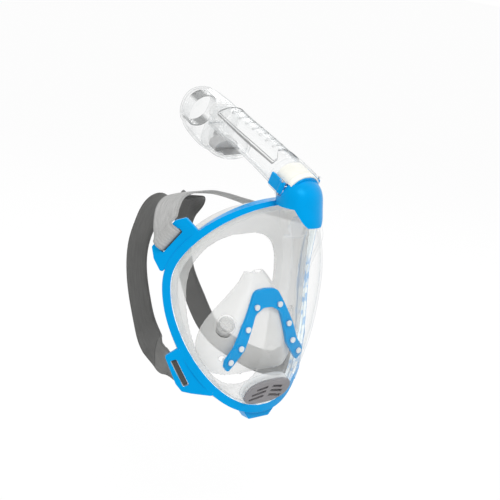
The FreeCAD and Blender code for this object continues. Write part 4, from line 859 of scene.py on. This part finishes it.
def make_surroundings(ambient):
    """White where it is seen, and an even light on the mask."""
    world = bpy.data.worlds.new("surroundings")
    bpy.context.scene.world = world
    world.use_nodes = True
    tree = world.node_tree
    strength = ramp(tree, seen_directly(tree), 0.0, 1.0, ambient, 1.0)
    feed(tree, tree.nodes["Background"], {"Color": WHITE, "Strength": strength})


def make_camera(lens):
    data = bpy.data.cameras.new("camera")
    data.lens = lens
    data.sensor_width = 36.0
    data.shift_x, data.shift_y = CAMERA_SHIFT
    back = CAMERA_BACK.normalized()
    right = (CAMERA_RIGHT - back * CAMERA_RIGHT.dot(back)).normalized()
    turn = Matrix((right, back.cross(right), back)).transposed()
    camera = bpy.data.objects.new("camera", data)
    camera.matrix_world = Matrix.Translation(CAMERA_AIM + back * CAMERA_AWAY) @ turn.to_4x4()
    bpy.context.scene.collection.objects.link(camera)
    bpy.context.scene.camera = camera


class MASK_OT_stage(bpy.types.Operator):
    """Make the floor, the even white surroundings, the lamps and the camera"""
    bl_idname = "mask.stage"
    bl_label = "Stage"

    def execute(self, context):
        stage = context.scene.mask_stage
        low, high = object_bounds()
        middle = (low + high) / 2.0
        make_floor(low.z - stage.floor_drop)
        make_surroundings(stage.ambient)
        soft_lamp("key", (-0.5, -0.9, 1.1), middle, 0.7, stage.key)
        soft_lamp("back", (0.9, 0.8, 0.9), middle, 0.6, stage.rim)
        make_camera(stage.lens)
        context.scene.view_settings.view_transform = "Standard"
        context.scene.cycles.transparent_max_bounces = CLEAR_LAYERS
        return {"FINISHED"}


class MASK_PT_panel(bpy.types.Panel):
    """Lists the mask's pieces"""
    bl_idname = "MASK_PT_panel"
    bl_label = "Mask"
    bl_space_type = "VIEW_3D"
    bl_region_type = "UI"
    bl_category = "Mask"

    def draw(self, context):
        for operator, settings in STEPS:
            box = self.layout.box()
            box.operator(operator.bl_idname)
            if settings:
                group = getattr(context.scene, settings)
                for key in group.__annotations__:
                    box.prop(group, key)


STEPS = (
    (MASK_OT_rim, "mask_rim"),
    (MASK_OT_window, "mask_window"),
    (MASK_OT_skirt, "mask_silicone"),
    (MASK_OT_nose_frame, ""),
    (MASK_OT_purge, ""),
    (MASK_OT_tube, ""),
    (MASK_OT_straps, "mask_strap"),
    (MASK_OT_stage, "mask_stage"),
)
GROUPS = {
    "mask_rim": MASK_PG_rim,
    "mask_window": MASK_PG_window,
    "mask_silicone": MASK_PG_silicone,
    "mask_strap": MASK_PG_strap,
    "mask_stage": MASK_PG_stage,
}
CLASSES = tuple(GROUPS.values()) + tuple(step[0] for step in STEPS) + (MASK_PT_panel,)


def register():
    for made in CLASSES:
        bpy.utils.register_class(made)
    for name, group in GROUPS.items():
        setattr(bpy.types.Scene, name, PointerProperty(type=group))


def unregister():
    for name in GROUPS:
        delattr(bpy.types.Scene, name)
    for made in reversed(CLASSES):
        bpy.utils.unregister_class(made)


def main():
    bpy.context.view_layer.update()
    register()
    for operator, _ in STEPS:
        area, name = operator.bl_idname.split(".")
        result = getattr(getattr(bpy.ops, area), name)()
        if "FINISHED" not in result:
            raise RuntimeError(operator.bl_label + " did not finish")


if __name__ == "__main__":
    main()
